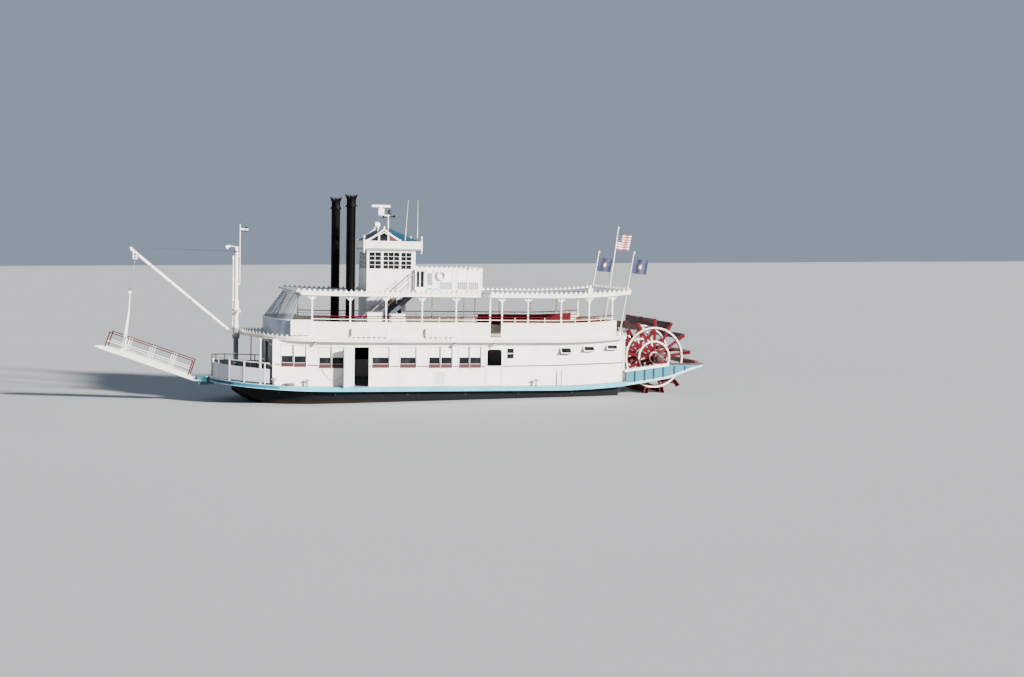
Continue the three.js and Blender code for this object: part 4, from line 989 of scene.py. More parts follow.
@dataclass(frozen=True)
class Crest:
    """A run of pointed teeth that stands on a deck's edge."""

    pitch: float = 0.27
    height: float = 0.2
    thickness: float = 0.022
    flank: tuple[Pair, ...] = ((0.5, 0.0), (0.5, 0.08), (0.42, 0.26), (0.3, 0.44), (0.16, 0.66), (0.05, 0.9))

    def row(self, shape: Shape, path: Line, base: float, sheer: bool = True) -> None:
        """Adds teeth along a plan path, whose outer side is to its left.

        Args:
            shape: Where the teeth go.
            path: Plan points.
            base: Level of the teeth's foot.
            sheer: Whether they rise with the decks.
        """
        profile = [*((-across, up) for across, up in self.flank), (0.0, 1.0), *self.flank[::-1]]
        for x, y, along_x, along_y in evenly(path, self.pitch):
            foot = base + (SHEER.lift(x) if sheer else 0.0)
            outline = [(x + along_x * a * self.pitch, y + along_y * a * self.pitch, foot + up * self.height)
                       for a, up in profile]
            shape.plate(outline, (along_y * self.thickness, -along_x * self.thickness, 0.0))


@dataclass(frozen=True)
class EdgeTrim:
    """Teeth on the edges of the deck, the canopies and the roof's rail."""

    crest: Crest = Crest()
    floor: float = FLOOR_HALF + 0.004
    floor_aft: float = -10.504
    bow_centre: float = 6.8
    bow_length: float = 3.004
    canopy: float = CANOPY_HALF + 0.004
    canopy_aft: float = -10.754
    canopy_split: Pair = (-2.9, -2.4)
    rail: float = 1.604
    rail_ends: Pair = (-2.864, 0.78)

    def build(self) -> None:
        """Makes each run."""
        half, aft = self.floor, self.floor_aft
        bow = arc_points(half, self.bow_centre, self.bow_length)[::-1]
        self.run("deck_crest", 4.04, "trim_cream", "cream paint", (
            [(aft, -half), bow[0]], [bow[-1], (aft, half)], [(aft, half), (aft, -half)], bow))
        half, aft, (end, start) = self.canopy, self.canopy_aft, self.canopy_split
        port = [(start, half), (7.0, half), *self.brow(half, 7.3)]
        self.run("canopy_crest", 6.44, "house_white", "white paint", (
            port[::-1], [(x, -y) for x, y in port], [(aft, -half), (end, -half)], [(aft, half), (aft, -half)],
            [(end, half), (aft, half)]))
        half, (aft, forward) = self.rail, self.rail_ends
        self.run("roof_rail_crest", 7.64, "house_white", "white paint", (
            [(forward, half), (aft, half)], [(aft, half), (aft, -half)],
            [(aft, -half), (forward, -half)]), sheer=False)

    @staticmethod
    def brow(half: float, end: float) -> list[Pair]:
        """Plan points of the forward canopy's port side, where it draws in before its straight front."""
        round_end = arc_points(half, 7.0, 1.2 + half - CANOPY_HALF, 96)
        return [(x, y) for x, y in round_end[1:] if y > 0 and x <= end]

    def run(self, name: str, base: float, slot: str, finish: str, paths: Sequence[Line],
            sheer: bool = True) -> None:
        """Makes the teeth along several paths one piece, whose foot is at a level."""
        shape = Shape()
        for path in paths:
            self.crest.row(shape, path, base, sheer)
        shape.piece(name, slot, finish, bevel=0.003)


@dataclass
class PilothouseRoof:
    """The roof's gables, bargeboards, finials, aerials, searchlight and horns."""

    aft: float = 0.46
    front: float = 3.58
    half: float = 1.55

    def build(self) -> None:
        """Makes each group."""
        self.finials()
        self.gables()
        self.gear()
        self.aerials()

    def finials(self) -> None:
        """Turned finials at the roof's corners, and the fascia's mouldings."""
        shape = Shape()
        profile = [(0.0, 8.5), (0.03, 8.52), (0.042, 8.56), (0.02, 8.6), (0.022, 8.64), (0.05, 8.68),
                   (0.055, 8.74), (0.055, 9.2), (0.04, 9.22), (0.018, 9.26), (0.02, 9.3), (0.048, 9.33),
                   (0.06, 9.37), (0.046, 9.41), (0.015, 9.44), (0.0, 9.47)]
        for x in (self.aft + 0.02, self.front - 0.02):
            shape.lathe(profile, (x, self.half - 0.03), 16)
        bands = ((8.72, 8.77, 0.0), (9.1, 9.16, 0.01))
        for low, high, out in bands:
            side = self.half + out
            shape.box((self.aft - out, side - 0.05, low), (self.front + out, side, high))
        shape.both_sides()
        for low, high, out in bands:
            shape.box((self.front + out - 0.05, -self.half, low), (self.front + out, self.half, high))
            shape.box((self.aft - out, -self.half, low), (self.aft - out + 0.05, self.half, high))
        shape.piece("roof_finials")

    def gables(self) -> None:
        """Bell-shaped bargeboards, the posts inside and the panels behind."""
        boards, panels, openings = Shape(), Shape(), Shape()
        left, peak, right = (3.45, 9.16), (2.5, 9.78), (1.58, 9.18)
        for side in (-1, 1):
            y = side * 1.5
            for foot in (left, right):
                outer, inner = [], []
                for k in range(11):
                    share = k / 10
                    x = foot[0] + (peak[0] - foot[0]) * share
                    rise = (peak[1] - foot[1]) * (share ** 1.25)
                    outer.append((x, y, foot[1] + rise + 0.05))
                    inner.append((x, y, foot[1] + max(-0.02, rise - 0.05)))
                boards.plate([*outer, *inner[::-1]], (0.0, side * 0.035, 0.0))
            boards.ball((peak[0], y + side * 0.01, peak[1] + 0.1), 0.06)
            for x, half in ((2.77, 0.045), (2.27, 0.04)):
                boards.box((x - half, y - 0.03, 9.14), (x + half, y + 0.026, 9.6))
            boards.bar((2.7, y, 9.5), (2.5, y, 9.63), 0.03).bar((2.31, y, 9.5), (2.5, y, 9.63), 0.03)
            middle = ((2.725, 9.15), (2.31, 9.15), (2.31, 9.58), (2.5, 9.7), (2.725, 9.58))
            for shape, outline in ((panels, ((2.23, 9.15), (1.62, 9.15), (2.23, 9.56))), (openings, middle),
                                   (openings, ((3.4, 9.15), (2.815, 9.15), (2.815, 9.52)))):
                shape.plate([(x, y + side * 0.002, z) for x, z in outline], (0.0, side * 0.01, 0.0))
        boards.piece("gable_boards", bevel=0.004)
        panels.piece("gable_panels", "rail_red", "dull crimson paint")
        # The openings are closed with dark sheets: painted shade for what is seen through them.
        openings.piece("gable_openings", "window_glass", "dark glass and painted shade")

    def gear(self) -> None:
        """The searchlight, and the horns with the lamp above them."""
        drum = Shape().lathe([(0.0, -0.16), (0.1, -0.14), (0.15, -0.04), (0.155, 0.12), (0.14, 0.14),
                              (0.135, 0.1), (0.0, 0.1)], (0.0, 0.0), 24)
        lamp = Shape().bar((2.64, 0.4, 9.55), (2.64, 0.4, 9.86), 0.03).ball((2.64, 0.4, 9.86), 0.07)
        lamp.join(drum, Matrix.Translation((2.68, 0.4, 10.02)) @ Matrix.Rotation(math.pi / 2, 4, "Y"))
        lamp.piece("searchlight")
        horns = Shape()
        for turn, level, length in ((0.2, 10.42, 0.34), (-0.35, 10.5, 0.3), (2.9, 10.46, 0.32)):
            along = Vector((math.cos(turn), math.sin(turn), 0.12))
            start = Vector((1.97, 0.0, level))
            horns.bar(start, start + along * length * 0.6, 0.02, 12, 0.03)
            horns.bar(start + along * length * 0.6, start + along * length, 0.03, 16, 0.075)
        horns.bar((1.97, 0.0, 10.3), (1.97, 0.0, 10.62), 0.03)
        horns.lathe([(0.0, 10.6), (0.1, 10.6), (0.115, 10.64), (0.09, 10.7), (0.09, 10.78), (0.05, 10.84),
                     (0.0, 10.85)], (1.95, 0.0), 20)
        horns.piece("horns", "steel", "black iron")

    def aerials(self) -> None:
        """Two whip aerials, a thin staff and the stays of the radar's mast."""
        whips = Shape()
        for foot, top in (((1.33, 1.3, 9.2), (1.18, 1.3, 11.35)), ((0.67, 1.3, 9.14), (0.66, 1.3, 11.37))):
            joint = Vector(foot).lerp(Vector(top), 0.3)
            whips.bar(foot, joint, 0.021, 12, 0.017).bar(joint, top, 0.012, 12, 0.005)
        whips.bar((2.13, 0.6, 9.7), (2.13, 0.6, 10.6), 0.016)
        whips.piece("aerials")


@dataclass
class StackTops:
    """Hoops and guy eyes of both stacks, and the pipe beside the port one."""

    x: float = 4.45
    y: float = 2.75
    # Foot, head and radius
    hoops: tuple[Point, ...] = ((10.86, 10.98, 0.292), (10.6, 10.64, 0.256), (9.4, 9.43, 0.25),
                                (8.3, 8.34, 0.25), (7.4, 7.43, 0.25), (6.5, 6.56, 0.3))

    def build(self) -> None:
        """Makes the hoops, the pipe and the flanges."""
        hoops, flange = Shape(), Shape()
        for low, high, radius in self.hoops:
            ring = [(0.236, low), (radius, low + 0.008), (radius + 0.004, (low + high) / 2),
                    (radius, high - 0.008), (0.236, high)]
            hoops.lathe([*ring, ring[0]], (self.x, self.y))
        for dx, dy in round_about(4, 0.27, TURN / 8):
            eye = Matrix.Translation((self.x + dx, self.y + dy, 10.62))
            hoops.join(Shape().torus((0, 0, 0), 0.026, 0.008, "Y", 14), eye)
        hoops.both_sides().piece("stack_hoops", "stack_black", "stack paint")
        x, y, top = self.x - 0.2, self.y + 0.27, 10.86
        pipe = Shape().bar((x, y, 6.56), (x, y, top), 0.035)
        pipe.bar((x, y, top), (x - 0.06, y, top + 0.07), 0.035).ball((x, y, top), 0.036)
        for level in (7.0, 8.0, 9.0, 10.0):
            pipe.box((x - 0.012, y - 0.1, level), (x + 0.012, y, level + 0.04))
            clip = [(0.034, level), (0.05, level + 0.002), (0.05, level + 0.038), (0.034, level + 0.04)]
            pipe.lathe(clip, (x, y), 16)
        pipe.piece("stack_pipe", "stack_black", "pipe grey paint")
        ring = [(0.3, 6.495), (0.37, 6.495), (0.37, 6.515), (0.31, 6.53), (0.3, 6.495)]
        flange.lathe(ring, (self.x, self.y)).both_sides().piece("stack_flanges")


@dataclass
class TimberDress:
    """Panels, posts and edge boards on the timbers that carry the wheel."""

    face: float = 3.05
    lower: tuple[Pair, ...] = ((-10.55, 1.58), (-11.9, 1.76), (-13.1, 1.97), (-14.2, 2.35), (-15.05, 2.63))
    upper: tuple[Pair, ...] = ((-10.55, 2.44), (-13.08, 2.77), (-15.05, 2.77))
    joints: tuple[float, ...] = (-10.56, -11.2, -11.9, -12.5, -13.1, -13.6, -14.2, -14.7, -15.04)
    posts: tuple[float, ...] = (-10.6, -11.14, -11.71, -12.23, -12.79, -13.43, -14.05)
    beam_end: float = -13.2

    def low(self, x: float) -> float:
        """Level of the timber's lower edge."""
        return height_at(self.lower, x)

    def top(self, x: float) -> float:
        """Level of the timber's upper edge."""
        return height_at(self.upper, x)

    def build(self) -> None:
        """Makes both sides."""
        panels, posts, rubs, whites, reds = (Shape() for _ in range(5))
        for pair in zip(self.joints, self.joints[1:]):
            low, top = [self.low(x) for x in pair], [self.top(x) for x in pair]
            foot = (low[0] + 0.12, min(low[1] + 0.12, top[1] - 0.08))
            panels.slab(pair, (self.face, self.face + 0.012), foot, [z - 0.06 for z in top])
            rubs.slab(pair, (self.face, self.face + 0.045), [z - 0.004 for z in low], [z + 0.1 for z in low])
            beam, deep = (whites, 0.13) if pair[1] > self.beam_end else (reds, 0.05)
            beam.slab(pair, (self.face, self.face + 0.05), [z - deep for z in top], [z + 0.002 for z in top])
        for x in self.posts:
            posts.box((x - 0.04, self.face + 0.005, self.low(x) + 0.1),
                      (x + 0.04, self.face + 0.04, self.top(x) - 0.13))
        for shape, name, slot, finish in (
                (panels, "timber_panels", "deck_blue", "panel blue paint"),
                (posts, "timber_posts", "deck_blue", "dark blue paint"),
                (rubs, "timber_rubs", "deck_blue", "pale guard paint"),
                (whites, "timber_beams", "house_white", "white paint"),
                (reds, "timber_tips", "wheel_timber", "beam timber")):
            shape.both_sides().piece(name, slot, finish, bevel=0.005)
        self.bearings()

    def bearings(self) -> None:
        """Caps, end discs and bolts of the wheel's bearings."""
        caps, discs, bolts = Shape(), Shape(), Shape()
        x, z = WHEEL_AXLE
        for half, low, high in ((0.23, 2.76, 2.84), (0.19, 3.02, 3.08)):
            caps.box((x - half, 3.03, low), (x + half, 3.09, high))
        disc = Shape().lathe([(0.0, 0.0), (0.19, 0.0), (0.19, 0.04), (0.15, 0.06), (0.0, 0.07)], (0, 0), 28)
        discs.join(disc, Matrix.Translation((x, 3.04, z)) @ Matrix.Rotation(-math.pi / 2, 4, "X"))
        for across, up in round_about(6, 0.15):
            bolts.bar((x + across, 3.08, z + up), (x + across, 3.115, z + up), 0.018, 6)
        for across in (-0.17, 0.17):
            bolts.bar((x + across, 3.06, 2.84), (x + across, 3.06, 2.88), 0.022, 6)
        caps.both_sides().piece("bearing_caps", "wheel_red", "crimson paint", bevel=0.008)
        discs.both_sides().piece("bearing_discs", "wheel_red", "dull crimson paint", bevel=0.004)
        bolts.both_sides().piece("bearing_bolts", "steel", "black iron")


@dataclass(frozen=True)
class Opening:
    """An opening in the house's side: from aft to forward, and from sill to head."""

    aft: float
    forward: float
    sill: float
    head: float

    @property
    def corners(self) -> tuple[Pair, Pair]:
        """Its low aft and its high forward corner."""
        return (self.aft, self.sill), (self.forward, self.head)


SASHES = tuple(Opening(*row) for row in (
    (7.38, 8.0, 2.64, 3.76), (6.71, 7.34, 2.62, 3.75), (5.43, 6.06, 2.56, 3.65), (4.75, 5.39, 2.56, 3.65),
    (2.39, 3.3, 2.56, 3.65), (0.96, 1.83, 2.56, 3.65), (-0.32, 0.29, 2.55, 3.66), (-0.97, -0.36, 2.55, 3.66),
    (-1.89, -1.33, 2.55, 3.66), (-2.54, -1.92, 2.55, 3.66)))
VENTS = tuple(Opening(*row) for row in ((-7.52, -6.89, 3.26, 3.64), (-8.82, -8.18, 3.39, 3.72),
                                        (-10.13, -9.49, 3.48, 3.8)))
PORTLIGHT = Opening(-4.32, -3.95, 3.05, 3.58)
SIDE_DOOR = Opening(3.46, 4.26, 1.6, 3.65)
HALF_DOOR = Opening(-3.66, -2.87, 1.6, 3.53)


@dataclass
class HouseSides:
    """Windows, blinds, sill bands, vents, door casings, the stripe, lamps and ropes on the deckhouse."""

    face: float = HOUSE_HALF
    stripe: tuple[Pair, ...] = ((8.41, 2.78), (6.7, 2.72), (5.4, 2.67), (-3.0, 2.63), (-6.5, 2.67),
                                (-10.54, 2.82))
    vent_lean: float = math.radians(32.0)
    door_round: float = 0.14
    front_post: Pair = (9.02, 2.7)

    def build(self) -> None:
        """Makes everything on the sides and the ends."""
        self.windows()
        self.vents()
        self.casings()
        self.stripes()
        self.louvre()
        self.lamps()
        self.ends()
        self.ropes()

    def across(self, shape: Shape, opening: Opening, inset: float, levels: Pair, depths: Pair) -> None:
        """Adds a block across an opening.

        Args:
            shape: Where it goes.
            opening: The opening.
            inset: How far its ends stop short of the opening's sides.
            levels: Its foot and head.
            depths: Its two faces, outwards from the wall's face.
        """
        near, far = (self.face + depth for depth in depths)
        shape.box((opening.aft + inset, near, levels[0]), (opening.forward - inset, far, levels[1]))

    def windows(self) -> None:
        """Sash windows with a blind above and a dark pane below."""
        casing, sash, blind, pane, band, channel = (Shape() for _ in range(6))
        for window in SASHES:
            sill, head = window.sill, window.head
            split = (sill + head) / 2
            upper = (split + head) / 2 - 0.06
            casing.ring(*window.corners, 0.034, self.face - 0.002, self.face + 0.014)
            self.across(casing, window, -0.05, (sill - 0.05, sill - 0.02), (0.0, 0.03))
            sash.ring((window.aft + 0.03, sill + 0.22), (window.forward - 0.03, split + 0.02), 0.016,
                      self.face - 0.062, self.face - 0.045)
            # Channels in each opening's sides and head, wider at the aft side: partly real sash channels,
            # partly painted shade for the dark line of the reveal's shadow.
            for x0, x1 in ((window.aft, window.aft + 0.035), (window.forward - 0.014, window.forward)):
                channel.box((x0, self.face - 0.041, sill + 0.2), (x1, self.face - 0.02, head - 0.004))
            self.across(channel, window, 0.0, (head - 0.016, head), (-0.041, -0.02))
            self.across(sash, window, 0.0, (split, split + 0.035), (-0.045, -0.03))
            self.across(sash, window, 0.0, (upper, upper + 0.03), (-0.046, -0.034))
            self.across(blind, window, 0.004, (split + 0.03, head - 0.004), (-0.052, -0.042))
            self.across(pane, window, 0.002, (sill, head), (-0.07, -0.062))
            self.across(band, window, 0.002, (sill + 0.002, sill + 0.2), (-0.06, -0.012))
        middle = (PORTLIGHT.sill + PORTLIGHT.head) / 2
        casing.ring(*PORTLIGHT.corners, 0.04, self.face - 0.002, self.face + 0.014)
        self.across(sash, PORTLIGHT, 0.0, (middle - 0.02, middle + 0.02), (-0.05, -0.02))
        self.across(pane, PORTLIGHT, 0.0, (PORTLIGHT.sill, PORTLIGHT.head), (-0.06, -0.05))
        casing.both_sides().piece("window_casings", bevel=0.003)
        sash.both_sides().piece("window_sashes", "house_white", "sash paint", bevel=0.003)
        blind.both_sides().piece("window_blinds", "house_white", "blind cloth")
        pane.both_sides().piece("window_panes", "window_glass", "dark glass and painted shade")
        channel.both_sides().piece("window_channels", "window_glass", "rail grey paint and painted shade")
        band.both_sides().piece("window_bands", "rail_red", "dull crimson paint", bevel=0.003)

    def vents(self) -> None:
        """Top-hinged vents, propped open."""
        flaps, panes, stays = Shape(), Shape(), Shape()
        for vent in VENTS:
            width, height = vent.forward - vent.aft, vent.head - vent.sill
            low, high = 0.05 - height, -0.05
            hinge = Matrix.Translation((vent.aft, self.face + 0.012, vent.head))
            place = hinge @ Matrix.Rotation(self.vent_lean, 4, "X")
            flaps.join(Shape().ring((0.05, low), (width - 0.05, high), 0.05, 0.0, 0.025), place)
            panes.join(Shape().box((0.05, 0.008, low), (width - 0.05, 0.016, high)), place)
            flaps.ring(*vent.corners, 0.035, self.face - 0.002, self.face + 0.01)
            out = self.face + 0.012 + math.sin(self.vent_lean) * height * 0.8
            down = vent.head - math.cos(self.vent_lean) * height * 0.8
            for x in (vent.aft + 0.03, vent.forward - 0.03):
                stays.bar((x, self.face, vent.sill + 0.05), (x, out, down), 0.008, 10)
        flaps.both_sides().piece("vent_flaps", bevel=0.003)
        panes.both_sides().piece("vent_panes", "window_glass", "dark glass and painted shade")
        stays.both_sides().piece("vent_stays", "steel", "galvanised steel")

    def casings(self) -> None:
        """Boards round the doorways, sills and the half doors' rounded heads."""
        boards, brass = Shape(), Shape()
        near, far = self.face - 0.001, self.face + 0.012
        for door in (SIDE_DOOR, HALF_DOOR):
            jamb, foot, head = door.forward + 0.055, door.sill + 0.02, door.head + 0.06
            boards.box((door.aft - 0.06, near, foot), (door.aft, far, head))
            boards.box((jamb, near, foot), (jamb + 0.055, far, head))
            boards.box((door.aft, near, door.head), (jamb, far, head))
            self.across(brass, door, 0.0, (DECK_TOP, DECK_TOP + 0.01), (-0.06, 0.01))
        y, head, radius = self.face - 0.05, HALF_DOOR.head, self.door_round
        for x, way in ((HALF_DOOR.aft, radius), (HALF_DOOR.forward, -radius)):
            turns = [math.pi / 2 * k / 6 for k in range(7)]
            curve = [(x + way * (1 - math.cos(turn)), y, head - radius * (1 - math.sin(turn)))
                     for turn in turns]
            boards.plate([(x, y, head), *curve], (0.0, 0.045, 0.0))
        boards.both_sides().piece("door_casings", bevel=0.003)
        brass.both_sides().piece("door_sills", "steel", "galvanised steel")

    def stripes(self) -> None:
        """A thin crimson batten along the wall, broken at the openings."""
        shape = Shape()
        openings = (*SASHES, SIDE_DOOR, HALF_DOOR)
        gaps = sorted(((opening.aft - 0.04, opening.forward + 0.04) for opening in openings), reverse=True)
        x, runs = 8.4, []
        for aft, forward in gaps:
            if x - forward > 0.02:
                runs.append((x, forward))
            x = min(x, aft)
        runs.append((x, -10.54))
        for start, end in runs:
            places = [start, *(at for at, _ in self.stripe if end < at < start), end]
            line = [(at, height_at(self.stripe, at)) for at in places]
            top = [(at, self.face, level + 0.03) for at, level in line]
            low = [(at, self.face, level - 0.03) for at, level in line]
            shape.plate([*top, *low[::-1]], (0.0, 0.008, 0.0))
        shape.both_sides().piece("house_stripe", "rail_red", "stripe paint", bevel=0.002)

    def louvre(self) -> None:
        """The vent panel low on the side."""
        frame_boards, slats = Shape(), Shape()
        frame_boards.ring((-0.56, 1.72), (-0.08, 2.37), 0.04, self.face - 0.001, self.face + 0.014)
        for k in range(13):
            z = 1.74 + k * 0.048
            slats.plate([(-0.56, self.face + 0.001, z + 0.03), (-0.08, self.face + 0.001, z + 0.03),
                         (-0.08, self.face + 0.012, z), (-0.56, self.face + 0.012, z)], (0.0, 0.0, 0.008))
        frame_boards.both_sides().piece("louvre_frame", bevel=0.002)
        slats.both_sides().piece("louvre_slats", "house_white", "grey paint")

    def lamps(self) -> None:
        """Floodlights under the deck's edge."""
        heads, lenses = Shape(), Shape()
        for x, z in ((6.28, 3.86), (-1.07, 3.83), (-3.19, 3.83)):
            heads.bar((x, 3.1, z + 0.12), (x, 3.12, z), 0.016)
            heads.bar((x, 3.08, z), (x, 3.2, z - 0.05), 0.06, 20, 0.09)
            heads.box((x - 0.05, 3.05, z + 0.08), (x + 0.05, 3.16, z + 0.12))
            lenses.bar((x, 3.2, z - 0.05), (x, 3.206, z - 0.0525), 0.078, 20)
        heads.both_sides().piece("flood_lamps", "steel", "black iron", bevel=0.002)
        lenses.both_sides().piece("flood_lenses", "window_glass", "lamp glass")

    def ends(self) -> None:
        """Casings of the front doorway and of the aft door, corner boards and the front's lower panels."""
        boards, posts = Shape(), Shape()
        x, y = self.front_post
        foot, head = DECK_TOP + SHEER.lift(x), FLOOR_UNDER + SHEER.lift(x)
        posts.bar((x, y, foot), (x, y, head), 0.038, 20)
        for level in (foot, head - 0.03):
            posts.bar((x, y, level), (x, y, level + 0.03), 0.075, 24)
        posts.both_sides().piece("front_posts")
        for low, high in (((8.408, 0.9, 1.62), (8.424, 0.98, 3.86)),
                          ((-10.264, 0.4, 1.84), (-10.248, 0.44, 3.64)),
                          ((8.34, 2.943, 1.66), (8.424, 2.967, 4.0)),
                          ((-10.562, 2.943, 1.84), (-10.47, 2.967, 4.15))):
            boards.box(low, high)
        for low, high in ((1.8, 2.6), (2.7, 3.7)):
            boards.ring((1.15, low), (2.7, high), 0.05, 8.408, 8.42, axis=0)
        boards.both_sides()
        boards.box((8.408, -0.98, 3.78), (8.424, 0.98, 3.86))
        boards.box((-10.264, -0.44, 3.6), (-10.248, 0.44, 3.64))
        boards.piece("end_casings", bevel=0.003)

    def ropes(self) -> None:
        """A rope in a swag on two hooks, beside the side door of each side."""
        start, end, low = Vector((5.9, 2.975, 2.5)), Vector((4.72, 2.975, 2.36)), 0.52
        points = []
        for k in range(25):
            share = k / 24
            at = start.lerp(end, share)
            at.z -= low * 4 * share * (1 - share)
            points.append(tuple(at))
        for side in (1, -1):
            path = [(x, y * side, z) for x, y, z in points]
            name = "swag_port" if side > 0 else "swag_starboard"
            rope = Tubes(0.012).add(*path).piece(name, "rope", "white line")
        hooks = Shape()
        for at in (start, end):
            hooks.bar((at.x, 2.95, at.z), (at.x, 2.985, at.z), 0.022)
            hooks.bar((at.x, 2.985, at.z), (at.x, 3.0, at.z), 0.034)
        hooks.both_sides().piece("rope_hooks", "steel", "galvanised steel")


@dataclass
class UpperWorks:
    """Caps, mouldings, rails, lids, chests, slats and the curtain on the upper deck."""

    posts_at: tuple[float, ...] = (6.45, 4.49, 2.62, 0.71, -1.11, -3.6, -5.03, -6.87, -8.44, -9.75)
    stanchions_at: tuple[float, ...] = (3.55, 1.65, -0.2, -2.05, -4.3, -5.95, -7.65, -9.1)
    rail: float = 3.1273
    rail_low: float = 5.09
    rail_high: float = 5.25
    rail_aft: float = -9.81
    rail_forward: float = 6.51
    red_forward: float = 6.4

    def build(self) -> None:
        """Makes each group."""
        self.mouldings()
        self.rails()
        self.lids()
        self.posts()
        self.benches()
        self.curtain()

    def mouldings(self) -> None:
        """Beads along the decks' edge boards, and the bulwark's cap."""
        edges, canopy, caps = Shape(), Shape(), Shape()
        half, aft, centre = FLOOR_HALF + 0.002, -10.502, 6.8
        bow = arc_points(half, centre, 3.002)[1:-1]
        path = [(aft, half), (centre, half), *bow, (centre, -half), (aft, -half)]
        for low, high in ((FLOOR_UNDER - 0.005, FLOOR_UNDER + 0.03), (4.015, 4.04)):
            edges.strip(path, -0.014, low, high).strip([path[-1], path[0]], -0.014, low, high)
        edges.piece("deck_beads", "trim_cream", "cream paint", bevel=0.003)
        half, front = CANOPY_HALF, 7.55
        brow = EdgeTrim.brow(half, front)
        corner = half * math.sqrt(1 - (0.55 / 1.2) ** 2)
        starboard = [(x, -y) for x, y in brow[::-1]]
        path = [(7.0, half), *brow, (front, corner), (front, -corner), *starboard, (7.0, -half)]
        lower, upper = (CANOPY_UNDER - 0.005, CANOPY_UNDER + 0.028), (6.412, 6.44)
        canopy.strip([(-2.4, half), *path, (-2.4, -half)], -0.012, *upper)
        canopy.strip([(-2.4, half), (7.04, half)], -0.012, *lower)
        canopy.strip([(7.04, -half), (-2.4, -half)], -0.012, *lower)
        for levels in (lower, upper):
            for path in ([(-10.75, half), (-2.9, half)], [(-2.9, -half), (-10.75, -half)],
                         [(-10.75, -half), (-10.75, half)]):
                canopy.strip(path, -0.012, *levels)
        canopy.piece("canopy_beads", bevel=0.003)
        half = BULWARK_HALF
        bow = arc_points(half, 7.5, 1.14)[1:-1]
        for path in ([(-2.985, half), (7.5, half), *bow, (7.5, -half), (-2.985, -half)],
                     [(-3.565, -half), (-10.0, -half), (-10.0, half), (-3.565, half)]):
            caps.strip(path, 0.065, BULWARK_TOP, BULWARK_TOP + 0.012)
        caps.piece("bulwark_cap", "trim_cream", "cream paint", bevel=0.003)

    def rails(self) -> None:
        """Round rails: crimson above, white below, with clips at the posts."""
        for side, word in ((1, "port"), (-1, "starboard")):
            y = side * self.rail
            high = Tubes(0.028).sheer(self.rail_aft, self.red_forward, y, self.rail_high)
            high.piece(f"upper_rail_high_{word}", "rail_red", "crimson paint",
                       stands_for=(f"upper_rail_{word}",))
            low = Tubes(0.018).sheer(self.rail_aft, self.rail_forward, y, self.rail_low)
            low.sheer(self.red_forward, self.rail_forward, y, self.rail_high).piece(f"upper_rail_low_{word}")
            clips = Shape()
            for x in self.posts_at:
                for level in (self.rail_low, self.rail_high):
                    z = level + SHEER.lift(x)
                    clips.box((x - 0.02, y - 0.03, z - 0.03), (x + 0.02, y + 0.025, z + 0.03))
            for x in self.stanchions_at:
                rise = SHEER.lift(x)
                clips.bar((x, y, BULWARK_TOP + rise), (x, y, self.rail_high - 0.01 + rise), 0.016)
            clips.piece(f"rail_clips_{word}", bevel=0.003)

    def lids(self) -> None:
        """Lids and battens of the lockers outside the bulwark, and the chests inside."""
        lids, chests = Shape(), Shape()
        for aft, forward, low, high in ((6.52, 7.54, 4.29, 5.05), (2.53, 4.42, 4.11, 4.61),
                                        (-1.02, 0.53, 4.11, 4.61)):
            lids.box((aft - 0.012, BULWARK_HALF, high), (forward + 0.012, 3.268, high + 0.018))
            for x in (aft + 0.01, (aft + forward) / 2, forward - 0.01):
                lids.box((x - 0.025, 3.25, low + 0.02), (x + 0.025, 3.262, high - 0.01))
        lids.both_sides().piece("locker_lids", "trim_cream", "cream paint", bevel=0.004)
        for aft, forward, top in ((2.7, 3.59, 5.44), (1.59, 2.33, 5.37)):
            chests.box((aft + 0.02, 2.4, FLOOR_TOP + 0.03), (forward - 0.02, 2.93, top - 0.04))
            chests.box((aft, 2.38, top - 0.04), (forward, 2.95, top))
            for x in (aft + 0.2, forward - 0.2):
                chests.box((x - 0.03, 2.385, top - 0.1), (x + 0.03, 2.4, top - 0.02))
        chests.piece("deck_chests", bevel=0.008)
        box = Shape().box((-8.66, 2.78, 6.5), (-8.4, 3.0, 6.8)).box((-8.68, 2.76, 6.8), (-8.38, 3.02, 6.83))
        head = (-8.53, 2.89, 6.94)
        box.bar((-8.53, 2.89, 6.83), head, 0.07, 20).ball(head, 0.09, (1.0, 1.0, 0.5))
        box.piece("aft_vent_box", bevel=0.01)

    def posts(self) -> None:
        """Turned-looking collars on the canopies' posts."""
        collars = Shape()
        for x in (*self.posts_at, -2.95):
            rise = SHEER.lift(x)
            for low, high, out in ((BULWARK_TOP + 0.002, BULWARK_TOP + 0.06, 0.05), (5.36, 5.38, 0.042),
                                   (5.93, 5.97, 0.046), (6.34, 6.4, 0.05)):
                collars.box((x - out, 3.07 - out, low + rise), (x + out, min(3.07 + out, 3.102), high + rise))
        collars.both_sides().piece("post_collars", bevel=0.006)

    def benches(self) -> None:
        """Slats of the long benches' seats and backs."""
        slats = Shape()
        places = (-9.28, -8.6, -7.5, -6.5, -3.77)
        for y0, y1, low, high in ((2.545, 2.66, 4.59, 4.604), (2.675, 2.79, 4.59, 4.604),
                                  (2.805, 2.92, 4.59, 4.604), (2.936, 2.95, 4.66, 4.8),
                                  (2.936, 2.95, 4.83, 4.97), (2.936, 2.95, 5.0, 5.12)):
            for pair in zip(places, places[1:]):
                rises = [SHEER.lift(x) for x in pair]
                slats.slab(pair, (y0, y1), [low + rise for rise in rises], [high + rise for rise in rises])
        slats.both_sides().piece("bench_slats", "bench_red", "crimson paint", bevel=0.002)

